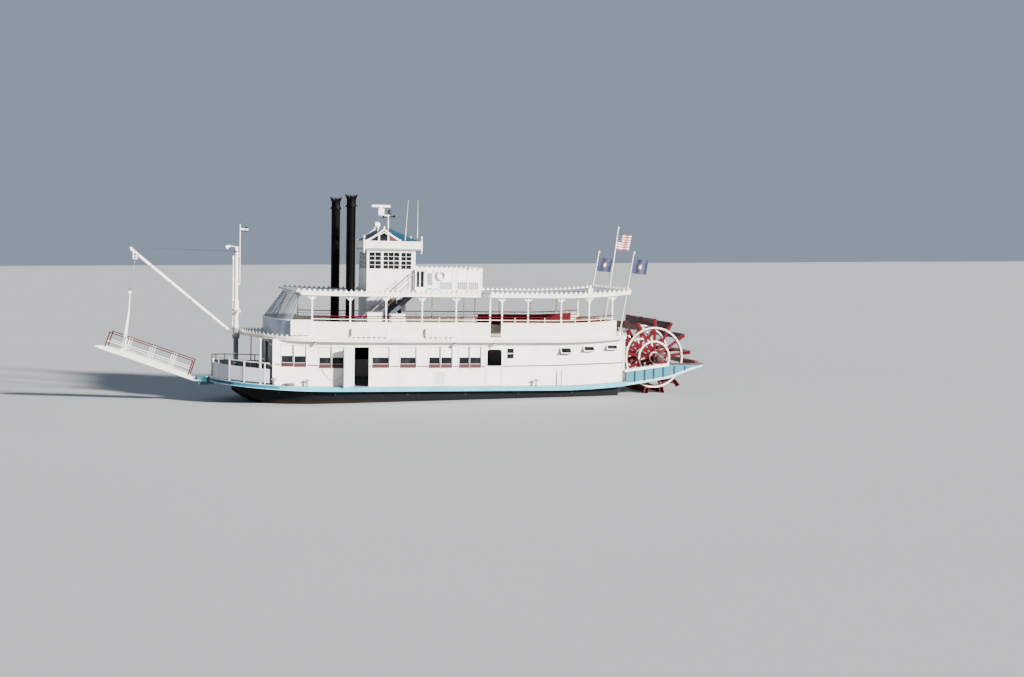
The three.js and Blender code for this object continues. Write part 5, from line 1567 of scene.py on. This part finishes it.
    def curtain(self) -> None:
        """The clear curtain round the front, with its battens and hems."""
        rows, columns = 18, 96
        mesh = bmesh.new()
        grid = []
        for i in range(columns + 1):
            turn = -math.pi / 2 + math.pi * i / columns
            top = Vector((6.96 + 0.53 * math.cos(turn), 3.045 * math.sin(turn), 0.0))
            low = Vector((7.48 + 1.1 * math.cos(turn), 3.045 * math.sin(turn), 0.0))
            top.z = 6.395 + SHEER.lift(top.x)
            low.z = BULWARK_TOP + 0.015 + SHEER.lift(low.x)
            column = []
            for k in range(rows + 1):
                share = k / rows
                at = top.lerp(low, share)
                ripple = 0.012 * math.sin(share * math.pi) * math.sin(i * 1.3)
                at += Vector((math.cos(turn), math.sin(turn), 0.0)) * ripple
                column.append(mesh.verts.new(at))
            grid.append(column)
        for here, there in zip(grid, grid[1:]):
            for k in range(rows):
                mesh.faces.new((here[k], there[k], there[k + 1], here[k + 1]))
        data = bpy.data.meshes.new("curtain")
        mesh.to_mesh(data)
        area = sum(face.calc_area() for face in mesh.faces)
        mesh.free()
        LOG.info("curtain's area is %.2f", area)
        curtain = register("curtain", data, "curtain vinyl", stands_for=("front_curtain",))
        hems = Shape()
        bars = Tubes(0.014)
        for turn in (-1.45, -0.95, -0.48, 0.0, 0.48, 0.95, 1.45):
            top = (6.95 + 0.52 * math.cos(turn), 3.02 * math.sin(turn))
            low = (7.47 + 1.08 * math.cos(turn), 3.02 * math.sin(turn))
            bars.add((*top, 6.39 + SHEER.lift(top[0])), (*low, BULWARK_TOP + SHEER.lift(low[0]) + 0.01))
        bars.piece("curtain_bars", "steel", "black iron")
        for centre, length, level in ((6.96, 0.53, 6.36), (7.48, 1.1, BULWARK_TOP + 0.016)):
            hems.strip(arc_points(3.05, centre, length), 0.006, level, level + 0.035)
        hems.piece("curtain_hems", "curtain_vinyl", "sash paint")


@dataclass
class Pilothouse:
    """Sashes, boards, the cabin's doors, the rail deck's battens and the life ring."""

    low: float = 7.68
    high: float = 8.57
    aft: float = 0.78
    front: float = 3.36
    rail: float = 1.6
    ring_at: Point = (-0.58, 1.67, 7.38)
    ring_radius: float = 0.215

    def build(self) -> None:
        """Makes each group."""
        self.sashes()
        self.boards()
        self.cabin_doors()
        self.rail_deck()

    def cabin_doors(self) -> None:
        """The dark doors in the cabin's sides, with their boards and handles."""
        casing, leaves, knobs = Shape(), Shape(), Shape()
        for side in (-1, 1):
            near, far = sorted((side * (CABIN_HALF + 0.001), side * (CABIN_HALF + 0.02)))
            casing.ring((1.77, 4.14), (2.22, 6.16), 0.05, near, far)
            near, far = sorted((side * (CABIN_HALF + 0.001), side * (CABIN_HALF + 0.012)))
            leaves.box((1.772, near, 4.142), (2.218, far, 6.158))
            # The mouldings stand proud on the port leaf alone, the one that the photograph shows
            proud = 0.004 if side > 0 else 0.0
            for low, high in ((4.25, 4.95), (5.1, 6.05)):
                leaves.ring((1.86, low), (2.13, high), 0.012, near, far + proud)
            knobs.bar((1.83, side * 1.36, 5.02), (1.83, side * 1.4, 5.02), 0.012, 12)
            knobs.ball((1.83, side * 1.405, 5.02), 0.024)
        casing.piece("cabin_door_casings", bevel=0.003)
        leaves.piece("cabin_door_leaves", "trim_cream", "dark door paint", bevel=0.002)
        knobs.piece("cabin_door_knobs", "steel", "bronze")

    def sashes(self) -> None:
        """Muntins and panes of the windows on all four sides."""
        bars, panes = Shape(), Shape()
        self.wall(bars, panes, 1, CABIN_HALF, ((2.61, 3.26, 2), (1.64, 2.51, 3), (0.99, 1.55, 2)))
        bars.both_sides()
        panes.both_sides()
        self.wall(bars, panes, 0, self.front, ((-1.2, -0.45, 2), (-0.4, 0.4, 3), (0.45, 1.2, 2)))
        self.wall(bars, panes, 0, 0.83, ((-1.2, -0.5, 2), (0.5, 1.2, 2)))
        bars.piece("pilothouse_sashes", bevel=0.002)
        panes.piece("pilothouse_panes", "window_glass", "room glass")

    def wall(self, bars: Shape, panes: Shape, axis: int, face: float,
             spans: Sequence[tuple[float, float, int]]) -> None:
        """Adds the muntins and panes of one wall.

        Args:
            bars: Where the muntins go.
            panes: Where the panes go.
            axis: The axis that the wall faces, 0 or 1.
            face: Its place on that axis.
            spans: Start, end and number of columns of each window.
        """
        inner, outer = face - 0.04, face - 0.012
        glass = (inner + outer) / 2
        middle = (self.low + self.high) / 2

        def lay(shape: Shape, a: Pair, b: Pair, near: float = inner, far: float = outer) -> None:
            """Adds a block between two corners in the wall's plane."""
            if axis == 1:
                shape.box((a[0], near, a[1]), (b[0], far, b[1]))
            else:
                shape.box((near, a[0], a[1]), (far, b[0], b[1]))

        for start, end, columns in spans:
            for low, high in ((self.low, self.low + 0.014), (middle - 0.016, middle + 0.016),
                              (self.high - 0.012, self.high)):
                lay(bars, (start, low), (end, high))
            for x in (start, end - 0.01):
                lay(bars, (x, self.low), (x + 0.01, self.high))
            for k in range(1, columns):
                x = start + (end - start) * k / columns
                lay(bars, (x - 0.009, self.low), (x + 0.009, self.high))
            for share in (0.25, 0.75):
                level = self.low + (self.high - self.low) * share
                lay(bars, (start, level - 0.008), (end, level + 0.008))
            lay(panes, (start, self.low), (end, self.high), glass - 0.003, glass + 0.003)

    def boards(self) -> None:
        """Corner boards, a sill band and the band under the eaves."""
        boards, half, front = Shape(), CABIN_HALF, self.front
        for x, out in ((self.aft, -0.012), (front, 0.012)):
            boards.box((x + out, half - 0.012, 6.51), (x - out * 6, half + 0.012, 8.72))
        bands = ((7.6, 7.66, 0.03), (8.6, 8.72, 0.014))
        for low, high, out in bands:
            boards.box((self.aft, half, low), (front, half + out, high))
        for x in (2.55, 1.595, 0.94):
            boards.box((x - 0.03, half, 7.66), (x + 0.03, half + 0.01, 8.6))
        boards.both_sides()
        for low, high, out in bands:
            boards.box((front, -half - out, low), (front + out, half + out, high))
        boards.piece("pilothouse_boards", bevel=0.003)

    def rail_deck(self) -> None:
        """Battens, bands and lattice of the rail behind the pilothouse, and its life ring."""
        battens, band, lattice, slots, infill = (Shape() for _ in range(5))
        y = self.rail
        # Painted shade: dark sheets in the rail's two slots, for the shade seen through them.
        for aft, forward in ((0.592, 0.728), (0.342, 0.518)):
            slots.box((aft, 1.573, 6.752), (forward, 1.583, 7.598))
        for aft, forward, low, high in ((-0.1, 0.16, 6.86, 7.5), (-1.19, -0.53, 6.62, 7.05),
                                        (-2.64, -1.5, 6.62, 7.05)):
            infill.box((aft, y, low), (forward, y + 0.006, high))
        for low, high in ((6.52, 6.6), (7.56, 7.64)):
            battens.box((-2.86, y, low), (0.3, y + 0.016, high))
        for x in (0.22, -0.14, -0.5, -1.22, -1.44, -2.06, -2.82):
            battens.box((x - 0.03, y, 6.52), (x + 0.03, y + 0.016, 7.62))
        for across in (0.4, 1.2):
            battens.box((-2.876, across - 0.03, 6.52), (-2.86, across + 0.03, 7.62))
        band.box((-0.55, y, 6.61), (0.25, y + 0.008, 6.7))
        for aft, forward in ((-1.19, -0.53), (-2.64, -1.5)):
            count = round((forward - aft) / 0.1)
            for k in range(count + 1):
                x = aft + (forward - aft) * k / count
                lattice.bar((x, y + 0.008, 6.62), (x, y + 0.008, 7.06), 0.014, 8)
            for level in (6.63, 7.05):
                lattice.bar((aft, y + 0.01, level), (forward, y + 0.01, level), 0.016, 8)
        battens.both_sides().piece("rail_deck_battens", bevel=0.003)
        band.both_sides().piece("rail_deck_band", "deck_blue", "guard blue paint")
        lattice.both_sides().piece("rail_deck_lattice")
        slots.both_sides().piece("rail_deck_slots", "window_glass", "dark glass and painted shade")
        infill.both_sides().piece("rail_deck_infill", "house_white", "infill grey paint")
        Shape().torus(self.ring_at, self.ring_radius, 0.058).piece("life_ring")
        straps = Shape()
        for across, up in round_about(4, self.ring_radius, TURN / 8):
            at = Matrix.Translation(Vector(self.ring_at) + Vector((across, 0.0, up)))
            strap = Shape().torus((0, 0, 0), 0.061, 0.006, "Z", 20)
            straps.join(strap, at @ facing(Vector((-up, 0.0, across))))
        straps.piece("life_ring_straps", "rail_red", "crimson paint")


@dataclass
class Stage:
    """The landing stage, rebuilt with planks, a rubbed edge and round rails."""

    half: float = 0.48
    profile: tuple[Pair, ...] = ((0.03, 0.1), (0.5, 0.22), (2.0, 0.33), (3.5, 0.33), (5.0, 0.19), (5.3, 0.09))
    planks: int = 34
    plank_from: float = 0.12
    plank_pitch: float = 0.15
    rail_top: float = 0.98
    slew: float = math.radians(-10.5)
    pitch: float = math.radians(-18.5)

    @property
    def matrix(self) -> Matrix:
        """From the stage's own frame, with its heel pin at nought, to the boat's."""
        turntable = Matrix.Translation((11.75, 0, 0)) @ Matrix.Rotation(self.slew, 4, "Z")
        return turntable @ Matrix.Translation((0.45, 0, 1.715)) @ Matrix.Rotation(self.pitch, 4, "Y")

    def top(self, x: float) -> float:
        """Height of the walking surface."""
        return height_at(self.profile, x)

    def place(self, shape: Shape) -> Shape:
        """A shape from the stage's frame in the boat's."""
        return Shape().join(shape, self.matrix)

    def build(self) -> None:
        """Makes the body, planks, edges, roller and rails."""
        body, planks, edge = Shape(), Shape(), Shape()
        outline = [(5.3, 0.0), (0.06, 0.0), (0.06, 0.02), *self.profile]
        body.plate([(x, -self.half, z) for x, z in outline], (0.0, 2 * self.half, 0.0))
        body.box((-0.045, -0.239, -0.04), (0.1, 0.239, 0.045))
        self.place(body).piece("stage_body", body="stage", bevel=0.008, stands_for=("stage_deck",))
        for k in range(self.planks):
            start = self.plank_from + self.plank_pitch * k
            pair = (start, start + self.plank_pitch - 0.012)
            levels = [self.top(x) for x in pair]
            planks.slab(pair, (-0.4, 0.4), levels, [level + 0.014 for level in levels])
        self.place(planks).piece("stage_planks", "deck_blue", "grey paint", "stage", 0.003)
        edge.box((0.5, 0.47, 0.02), (5.2, 0.489, 0.05))
        for (xa, za), (xb, zb) in zip(self.profile, self.profile[1:]):
            edge.slab((xa, xb), (0.47, 0.489), (za - 0.04, zb - 0.04), (za + 0.004, zb + 0.004))
        self.place(edge.both_sides()).piece("stage_edges", body="stage", bevel=0.003)
        roller = Shape().bar((5.22, 0.44, 0.045), (5.22, 0.475, 0.045), 0.025).both_sides()
        roller.bar((5.22, -0.44, 0.045), (5.22, 0.44, 0.045), 0.055, 24)
        self.place(roller).piece("stage_roller", "hull_black", "black iron", "stage")
        self.rails()

    def rails(self) -> None:
        """Crimson top rails and end posts, white middle rails and paired stanchions."""
        tops, whites, ends = Tubes(0.024), Tubes(0.018), Tubes(0.03)
        for side in (-1, 1):
            y = side * (self.half - 0.03)

            def at(x: float, height: float) -> Point:
                """A point on the rail's plane."""
                return tuple(self.matrix @ Vector((x, y, height)))

            tops.add(at(0.31, self.rail_top), at(4.85, self.rail_top))
            whites.add(at(0.31, 0.53), at(4.85, 0.53))
            for x in (1.32, 1.44, 2.48, 2.6, 3.74, 3.86):
                whites.add(at(x, self.top(x)), at(x, self.rail_top))
            for x in (0.33, 4.81):
                ends.add(at(x, self.top(x)), at(x, self.rail_top + 0.01))
        tops.piece("stage_rails_top", "rail_red", "crimson paint", "stage")
        ends.piece("stage_rail_ends", "rail_red", "crimson paint", "stage")
        whites.piece("stage_rails_low", body="stage")


@dataclass
class MastGear:
    """Fittings on the mast and the boom."""

    x: float = 10.05
    lower_radius: float = 0.13
    upper_radius: float = 0.085
    step: float = 5.9
    boom_heel: Point = (0.26, 0.0, 4.23)
    boom_tip: Point = (5.4, 0.0, 8.49)
    boom_slew: float = math.radians(-7.2)

    @property
    def boom(self) -> Matrix:
        """From the boom's frame, with the mast at nought, to the boat's."""
        return Matrix.Translation((self.x, 0, 0)) @ Matrix.Rotation(self.boom_slew, 4, "Z")

    def build(self) -> None:
        """Makes everything."""
        mast, centre = Shape(), (self.x, 0.0)
        for profile in (((0.085, 8.62), (0.11, 8.64), (0.11, 8.68), (0.06, 8.72), (0.0, 8.73)),
                        ((0.13, 5.82), (0.145, 5.84), (0.13, 5.9), (0.09, 5.96), (0.085, 5.96)),
                        ((0.13, 1.85), (0.24, 1.85), (0.24, 1.9), (0.15, 1.96), (0.13, 1.96))):
            mast.lathe(profile, centre, 24)
        for level in (2.6, 3.1, 5.0, 6.2, 7.0, 7.8):
            radius = self.lower_radius if level < self.step else self.upper_radius
            out = radius + 0.012
            mast.lathe([(radius, level), (out, level + 0.004), (out, level + 0.036), (radius, level + 0.04)],
                       centre, 24)
        for side in (-1, 1):
            mast.bar((self.x, side * 0.14, 2.9), (self.x, side * 0.26, 2.94), 0.016)
            mast.box((self.x - 0.08, side * 0.25 - 0.015, 2.91), (self.x + 0.08, side * 0.25 + 0.015, 2.945))
        mast.piece("mast_fittings", bevel=0.003)
        Tubes(0.032).add((10.215, 0.0, 4.55), (10.215, 0.0, 8.25)).piece("mast_pipe")
        clamps = Shape()
        for level in (4.7, 5.9, 7.0, 8.1):
            clamps.box((10.1, -0.03, level), (10.26, 0.03, level + 0.05))
        clamps.piece("mast_clamps", bevel=0.004)
        lamp = Shape().bar((self.x, 0.0, 8.7), (10.42, 0.0, 8.76), 0.02).ball((10.43, 0.0, 8.76), 0.035)
        lamp.bar((10.4, 0.0, 8.76), (10.58, 0.0, 8.66), 0.06, 24, 0.1)
        lamp.bar((9.9, 0.0, 5.44), (9.9, 0.3, 5.44), 0.016)
        lamp.bar((9.9, 0.25, 5.4), (9.9, 0.4, 5.34), 0.05, 20, 0.08)
        lamp.piece("mast_lamps")
        self.boom_parts()

    def boom_parts(self) -> None:
        """Hoops along the boom, the pins at its ends, the swivel's bolts and the pulleys' pins."""
        hoops, pins = Shape(), Shape()
        start, end = Vector(self.boom_heel), Vector(self.boom_tip)
        along = (end - start).normalized()
        for share in (0.06, 0.2, 0.4, 0.6, 0.8, 0.93):
            at = start.lerp(end, share)
            hoops.bar(at - along * 0.025, at + along * 0.025, 0.088, 24)
        hoops.bar((5.24, -0.09, 8.4), (5.24, 0.09, 8.4), 0.024)
        hoops.bar((0.26, -0.14, 4.23), (0.26, 0.14, 4.23), 0.03)
        for across, aside in round_about(6, 0.2, 0.5):
            hoops.bar((across, aside, 4.44), (across, aside, 4.475), 0.016, 6)
        Shape().join(hoops, self.boom).piece("boom_fittings", "steel", "galvanised steel", "boom_gear")
        for z in (8.07, 8.21):
            pins.bar((5.18, -0.078, z), (5.18, 0.078, z), 0.05, 20)
        Shape().join(pins, self.boom).piece("pulley_pins", "steel", "black iron", "boom_gear")


@dataclass
class PaddleWheel:
    """Boards, battens, bolts and hub plates of the wheel."""

    arms: int = 13
    frames: tuple[float, ...] = (-2.2, 0.0, 2.2)

    def build(self) -> None:
        """Makes boards and ironwork."""
        axle = Matrix.Translation((WHEEL_AXLE[0], 0.0, WHEEL_AXLE[1]))
        board, bolt, batten = self.arm()
        boards, bolts, battens, hubs = (Shape() for _ in range(4))
        for k in range(self.arms):
            place = axle @ Matrix.Rotation(TURN * k / self.arms, 4, "Y")
            boards.join(board, place)
            bolts.join(bolt, place)
            battens.join(batten, place)
        boards.piece("bucket_boards", "wheel_timber", "bucket boards", "paddle_wheel", 0.004)
        battens.piece("bucket_battens", "wheel_red", "beam timber", "paddle_wheel", 0.003)
        bolts.piece("wheel_bolts", "steel", "galvanised steel", "paddle_wheel")
        for y in self.frames:
            for side in (-1, 1):
                low, high = sorted((y + side * 0.108, y + side * 0.122))
                rim = [(0.16, low), (0.27, low), (0.27, high), (0.16, high), (0.16, low)]
                hubs.join(Shape().lathe(rim, (0, 0)), axle @ Matrix.Rotation(-math.pi / 2, 4, "X"))
        hubs.piece("hub_plates", "wheel_red", "crimson paint", "paddle_wheel", 0.003)

    def arm(self) -> tuple[Shape, Shape, Shape]:
        """One bucket's boards, bolts and battens, with the axle at nought and the arms upright."""
        board, bolt, batten = Shape(), Shape(), Shape()
        for low, high in ((1.722, 1.856), (1.864, 1.996), (2.004, 2.138)):
            board.box((0.076, -2.348, low), (0.128, 2.348, high))
        for y in self.frames:
            batten.box((0.128, y - 0.05, 1.7), (0.14, y + 0.05, 2.14))
            for z in (1.79, 1.93, 2.07):
                for dy in (-0.03, 0.03):
                    bolt.bar((0.138, y + dy, z), (0.156, y + dy, z), 0.014, 6)
                    bolt.bar((-0.095, y + dy, z), (-0.074, y + dy, z), 0.014, 6)
            for side in (-1, 1):
                near, far = y + side * 0.029, y + side * 0.044
                for radius in (1.56, 1.64, 0.82, 0.9):
                    for x in (-0.03, 0.03):
                        bolt.bar((x, near, radius), (x, far, radius), 0.013, 6)
                bolt.bar((0.0, y + side * 0.108, 0.22), (0.0, y + side * 0.126, 0.22), 0.018, 6)
        return board, bolt, batten


@dataclass
class Flags:
    """Waved flags, and the balls and cleats of their poles."""

    # Name, place across, pole's foot and top, flag's width and height, cloth
    poles: tuple[tuple[str, float, Pair, Pair, float, float, str], ...] = (
        ("port", 3.0, (-10.23, 4.53), (-10.95, 8.83), 0.95, 0.78, "roundel flag"),
        ("centre", 0.0, (-10.33, 4.53), (-11.06, 10.2), 0.85, 0.88, "striped flag"),
        ("starboard", -3.0, (-10.23, 4.53), (-10.95, 8.83), 0.95, 0.78, "roundel flag"))

    def build(self) -> None:
        """Makes the four flags, and the balls and cleats of the stern's poles."""
        balls, cleats = Shape(), Shape()
        for name, y, foot, top, width, height, cloth in self.poles:
            lean = (top[0] - foot[0]) / (top[1] - foot[1])
            high = top[1] - 0.35
            self.flag(name, (top[0] + (high - top[1]) * lean - 0.026, y, high), lean, width, height, cloth)
            balls.ball((top[0], y, top[1] - 0.03), 0.055)
            balls.bar((top[0], y, top[1] - 0.14), (top[0], y, top[1] - 0.08), 0.034)
            x, z = foot[0] + lean * 0.9, foot[1] + 0.9
            cleats.box((x + 0.02, y - 0.012, z - 0.02), (x + 0.05, y + 0.012, z + 0.02))
            cleats.bar((x + 0.055, y, z - 0.07), (x + 0.055, y, z + 0.07), 0.012, 12)
        balls.piece("pole_balls")
        self.flag("jack", (9.847, 0.0, 9.8), 0.0, 0.42, 0.28, "banded flag")
        cleats.piece("pole_cleats", "steel", "galvanised steel")

    def flag(self, name: str, corner: Point, lean: float, width: float, height: float, cloth: str) -> None:
        """Makes one flag whose rows keep their cut length as they wave.

        Args:
            name: Which flag.
            corner: Its top corner at the pole.
            lean: The pole's lean, along over up.
            width: Cut length from the pole outward.
            height: Cut height at the pole.
            cloth: Its finish.
        """
        columns, rows = 60, 30
        mesh = bmesh.new()
        layer = mesh.loops.layers.uv.new("cloth")
        grid = []
        for k in range(rows + 1):
            down = height * k / rows
            out, aside, line = 0.0, 0.0, []
            for i in range(columns + 1):
                share = i / columns
                reach = width * share
                swell = 0.075 * width * min(1.0, share * 2.2)
                wave = swell * math.sin(reach / width * 8.6 + down / height * 1.1 + corner[1])
                if i:
                    step = width / columns
                    out += math.sqrt(max(step ** 2 - (wave - aside) ** 2, (step * 0.3) ** 2))
                aside = wave
                sag = out * 0.12 + 0.02 * width * math.sin(share * 5.0)
                at = (corner[0] - lean * down - out, corner[1] + wave, corner[2] - down - sag)
                line.append(mesh.verts.new(at))
            grid.append(line)
        for k in range(rows):
            for i in range(columns):
                face = mesh.faces.new((grid[k][i], grid[k][i + 1], grid[k + 1][i + 1], grid[k + 1][i]))
                spots = ((i, k), (i + 1, k), (i + 1, k + 1), (i, k + 1))
                for loop, (across, below) in zip(face.loops, spots):
                    loop[layer].uv = (across / columns, 1 - below / rows)
        data = bpy.data.meshes.new("flag " + name)
        mesh.to_mesh(data)
        mesh.free()
        flag = register(f"flag_cloth_{name}", data, cloth, stands_for=(f"flag_{name}",))


@dataclass
class HullFittings:
    """Beads of the guard, scuppers, bitt caps and the mooring rope."""

    guard: float = DECK_HALF - 0.012
    guard_ends: Pair = (-10.55, 11.44)
    scuppers: tuple[Pair, ...] = ((8.0, 2.45), (5.2, 3.002), (1.4, 3.002), (-1.7, 3.002), (-4.6, 3.002),
                                  (-7.6, 3.002))
    bitts: tuple[Pair, ...] = ((8.35, 3.0), (6.68, 3.15), (-5.53, 3.18))
    coil_at: Pair = (7.55, 3.13)

    def build(self) -> None:
        """Makes everything."""
        edge, scuppers, caps = Shape(), Shape(), Shape()
        aft, forward = self.guard_ends
        bow = [(x, y) for x, y in arc_points(self.guard, 6.4, 5.098)[1:-1] if x < forward and y > 0]
        for low, high in ((1.365, 1.4), (1.55, 1.585)):
            edge.strip([(aft, self.guard), (6.4, self.guard), *bow], -0.011, low, high)
        edge.both_sides().piece("guard_beads", "deck_blue", "pale guard paint", bevel=0.004)
        for x, y in self.scuppers:
            rise = SHEER.lift(x)
            scuppers.bar((x, y - 0.1, 1.2 + rise), (x, y + 0.02, 1.19 + rise), 0.05, 20)
        scuppers.both_sides().piece("scuppers", "hull_black", "black iron")
        for x, y in self.bitts:
            foot = DECK_TOP + SHEER.lift(x)
            head = ((0.0, 0.39), (0.055, 0.385), (0.058, 0.35), (0.045, 0.345), (0.045, 0.3))
            base = ((0.045, 0.04), (0.1, 0.03), (0.1, 0.0), (0.0, 0.0))
            for profile in (head, base):
                caps.lathe([(radius, foot + up) for radius, up in profile], (x, y), 24)
            for dx in (-0.13, 0.13):
                caps.ball((x + dx, y, foot + 0.3), 0.032)
        caps.both_sides().piece("bitt_caps", "steel", "rail grey paint and painted shade")
        self.coil()

    def coil(self) -> None:
        """A coil of mooring rope on the side deck, in layers that wind outwards and inwards in turn."""
        path: list[Point] = []
        turns, steps, layer_steps = 6, 40, 80
        x, y = self.coil_at
        foot = DECK_TOP + SHEER.lift(x) + 0.024
        for k in range(turns * steps + 1):
            turn = TURN * k / steps
            layer, within = divmod(k, layer_steps)
            share = within / layer_steps
            radius = 0.15 + 0.055 * (share if layer % 2 == 0 else 1 - share)
            path.append((x + radius * 1.25 * math.cos(turn), y + radius * 0.8 * math.sin(turn),
                         foot + 0.036 * (k / layer_steps)))
        rope = Tubes(0.018).add(*path).piece("mooring_coil", "rope", "hemp rope")


@dataclass(frozen=True)
class Studio:
    """Floor at the waterline, soft lights and the camera."""

    floor_half: float = 400.0
    trim: float = 1.15
    camera_place: Point = (16.23, 78.84, 9.04)
    right: Point = (-0.9657, 0.2588, 0.0194)
    up: Point = (0.0025, -0.0654, 0.9979)
    lens: float = 52.03
    sun_from: Point = (-0.62, 0.7, 0.36)
    sun_power: float = 18.5
    sky_power: float = 0.42

    def build(self) -> None:
        """Makes the floor, the lights and the camera."""
        self.floor()
        self.lights()
        self.camera()

    def floor(self) -> None:
        """Lays the pale floor where the water would be, level with it while the boat trims by the stern."""
        grown = bmesh.new()
        place = Matrix.Translation((1.2, 0.0, WATERLINE)) @ Matrix.Rotation(math.radians(self.trim), 4, "Y")
        bmesh.ops.create_grid(grown, x_segments=1, y_segments=1, size=self.floor_half, matrix=place)
        mesh = bpy.data.meshes.new("floor")
        grown.to_mesh(mesh)
        grown.free()
        shader = Shader("pale floor")
        cloud = shader.noise(0.05)
        mesh.materials.append(shader.finish(
            Base_Color=shader.mix(cloud, (0.31, 0.322, 0.335), (0.325, 0.338, 0.352)), Roughness=0.8))
        floor = bpy.data.objects.new("floor", mesh)
        bpy.context.scene.collection.objects.link(floor)

    def lights(self) -> None:
        """Hangs a wide soft key from the port quarter and fills the rest from the sky."""
        key = bpy.data.lights.new("key", "SUN")
        key.energy = self.sun_power
        key.angle = math.radians(5.0)
        key.color = (1.0, 0.955, 0.9)
        lamp = bpy.data.objects.new("key", key)
        lamp.rotation_mode = "QUATERNION"
        lamp.rotation_quaternion = Vector(self.sun_from).to_track_quat("Z", "Y")
        bpy.context.scene.collection.objects.link(lamp)
        world = bpy.data.worlds.new("studio")
        bpy.context.scene.world = world
        world.use_nodes = True
        background = world.node_tree.nodes["Background"]
        background.inputs["Color"].default_value = (0.66, 0.8, 1.0, 1.0)
        background.inputs["Strength"].default_value = self.sky_power

    def camera(self) -> None:
        """Sets the camera where the photograph was taken from."""
        data = bpy.data.cameras.new("camera")
        data.sensor_fit = "HORIZONTAL"
        data.sensor_width = 36.0
        data.lens = self.lens
        data.clip_end = 2000.0
        camera = bpy.data.objects.new("camera", data)
        right, up = Vector(self.right).normalized(), Vector(self.up).normalized()
        back = right.cross(up)
        turn = Matrix((right, up, back)).transposed().to_4x4()
        camera.matrix_world = Matrix.Translation(self.camera_place) @ turn
        bpy.context.scene.collection.objects.link(camera)
        bpy.context.scene.camera = camera


def main() -> None:
    """Builds the boat's looks in order."""
    logging.basicConfig(level=logging.INFO, format="%(message)s")
    for part in (Finishes, Studio, FrameNodes, EdgeTrim, PilothouseRoof, StackTops, TimberDress, HouseSides,
                 UpperWorks, Pilothouse, Stage, MastGear, PaddleWheel, Flags, HullFittings):
        part().build()


if __name__ == "__main__":
    main()
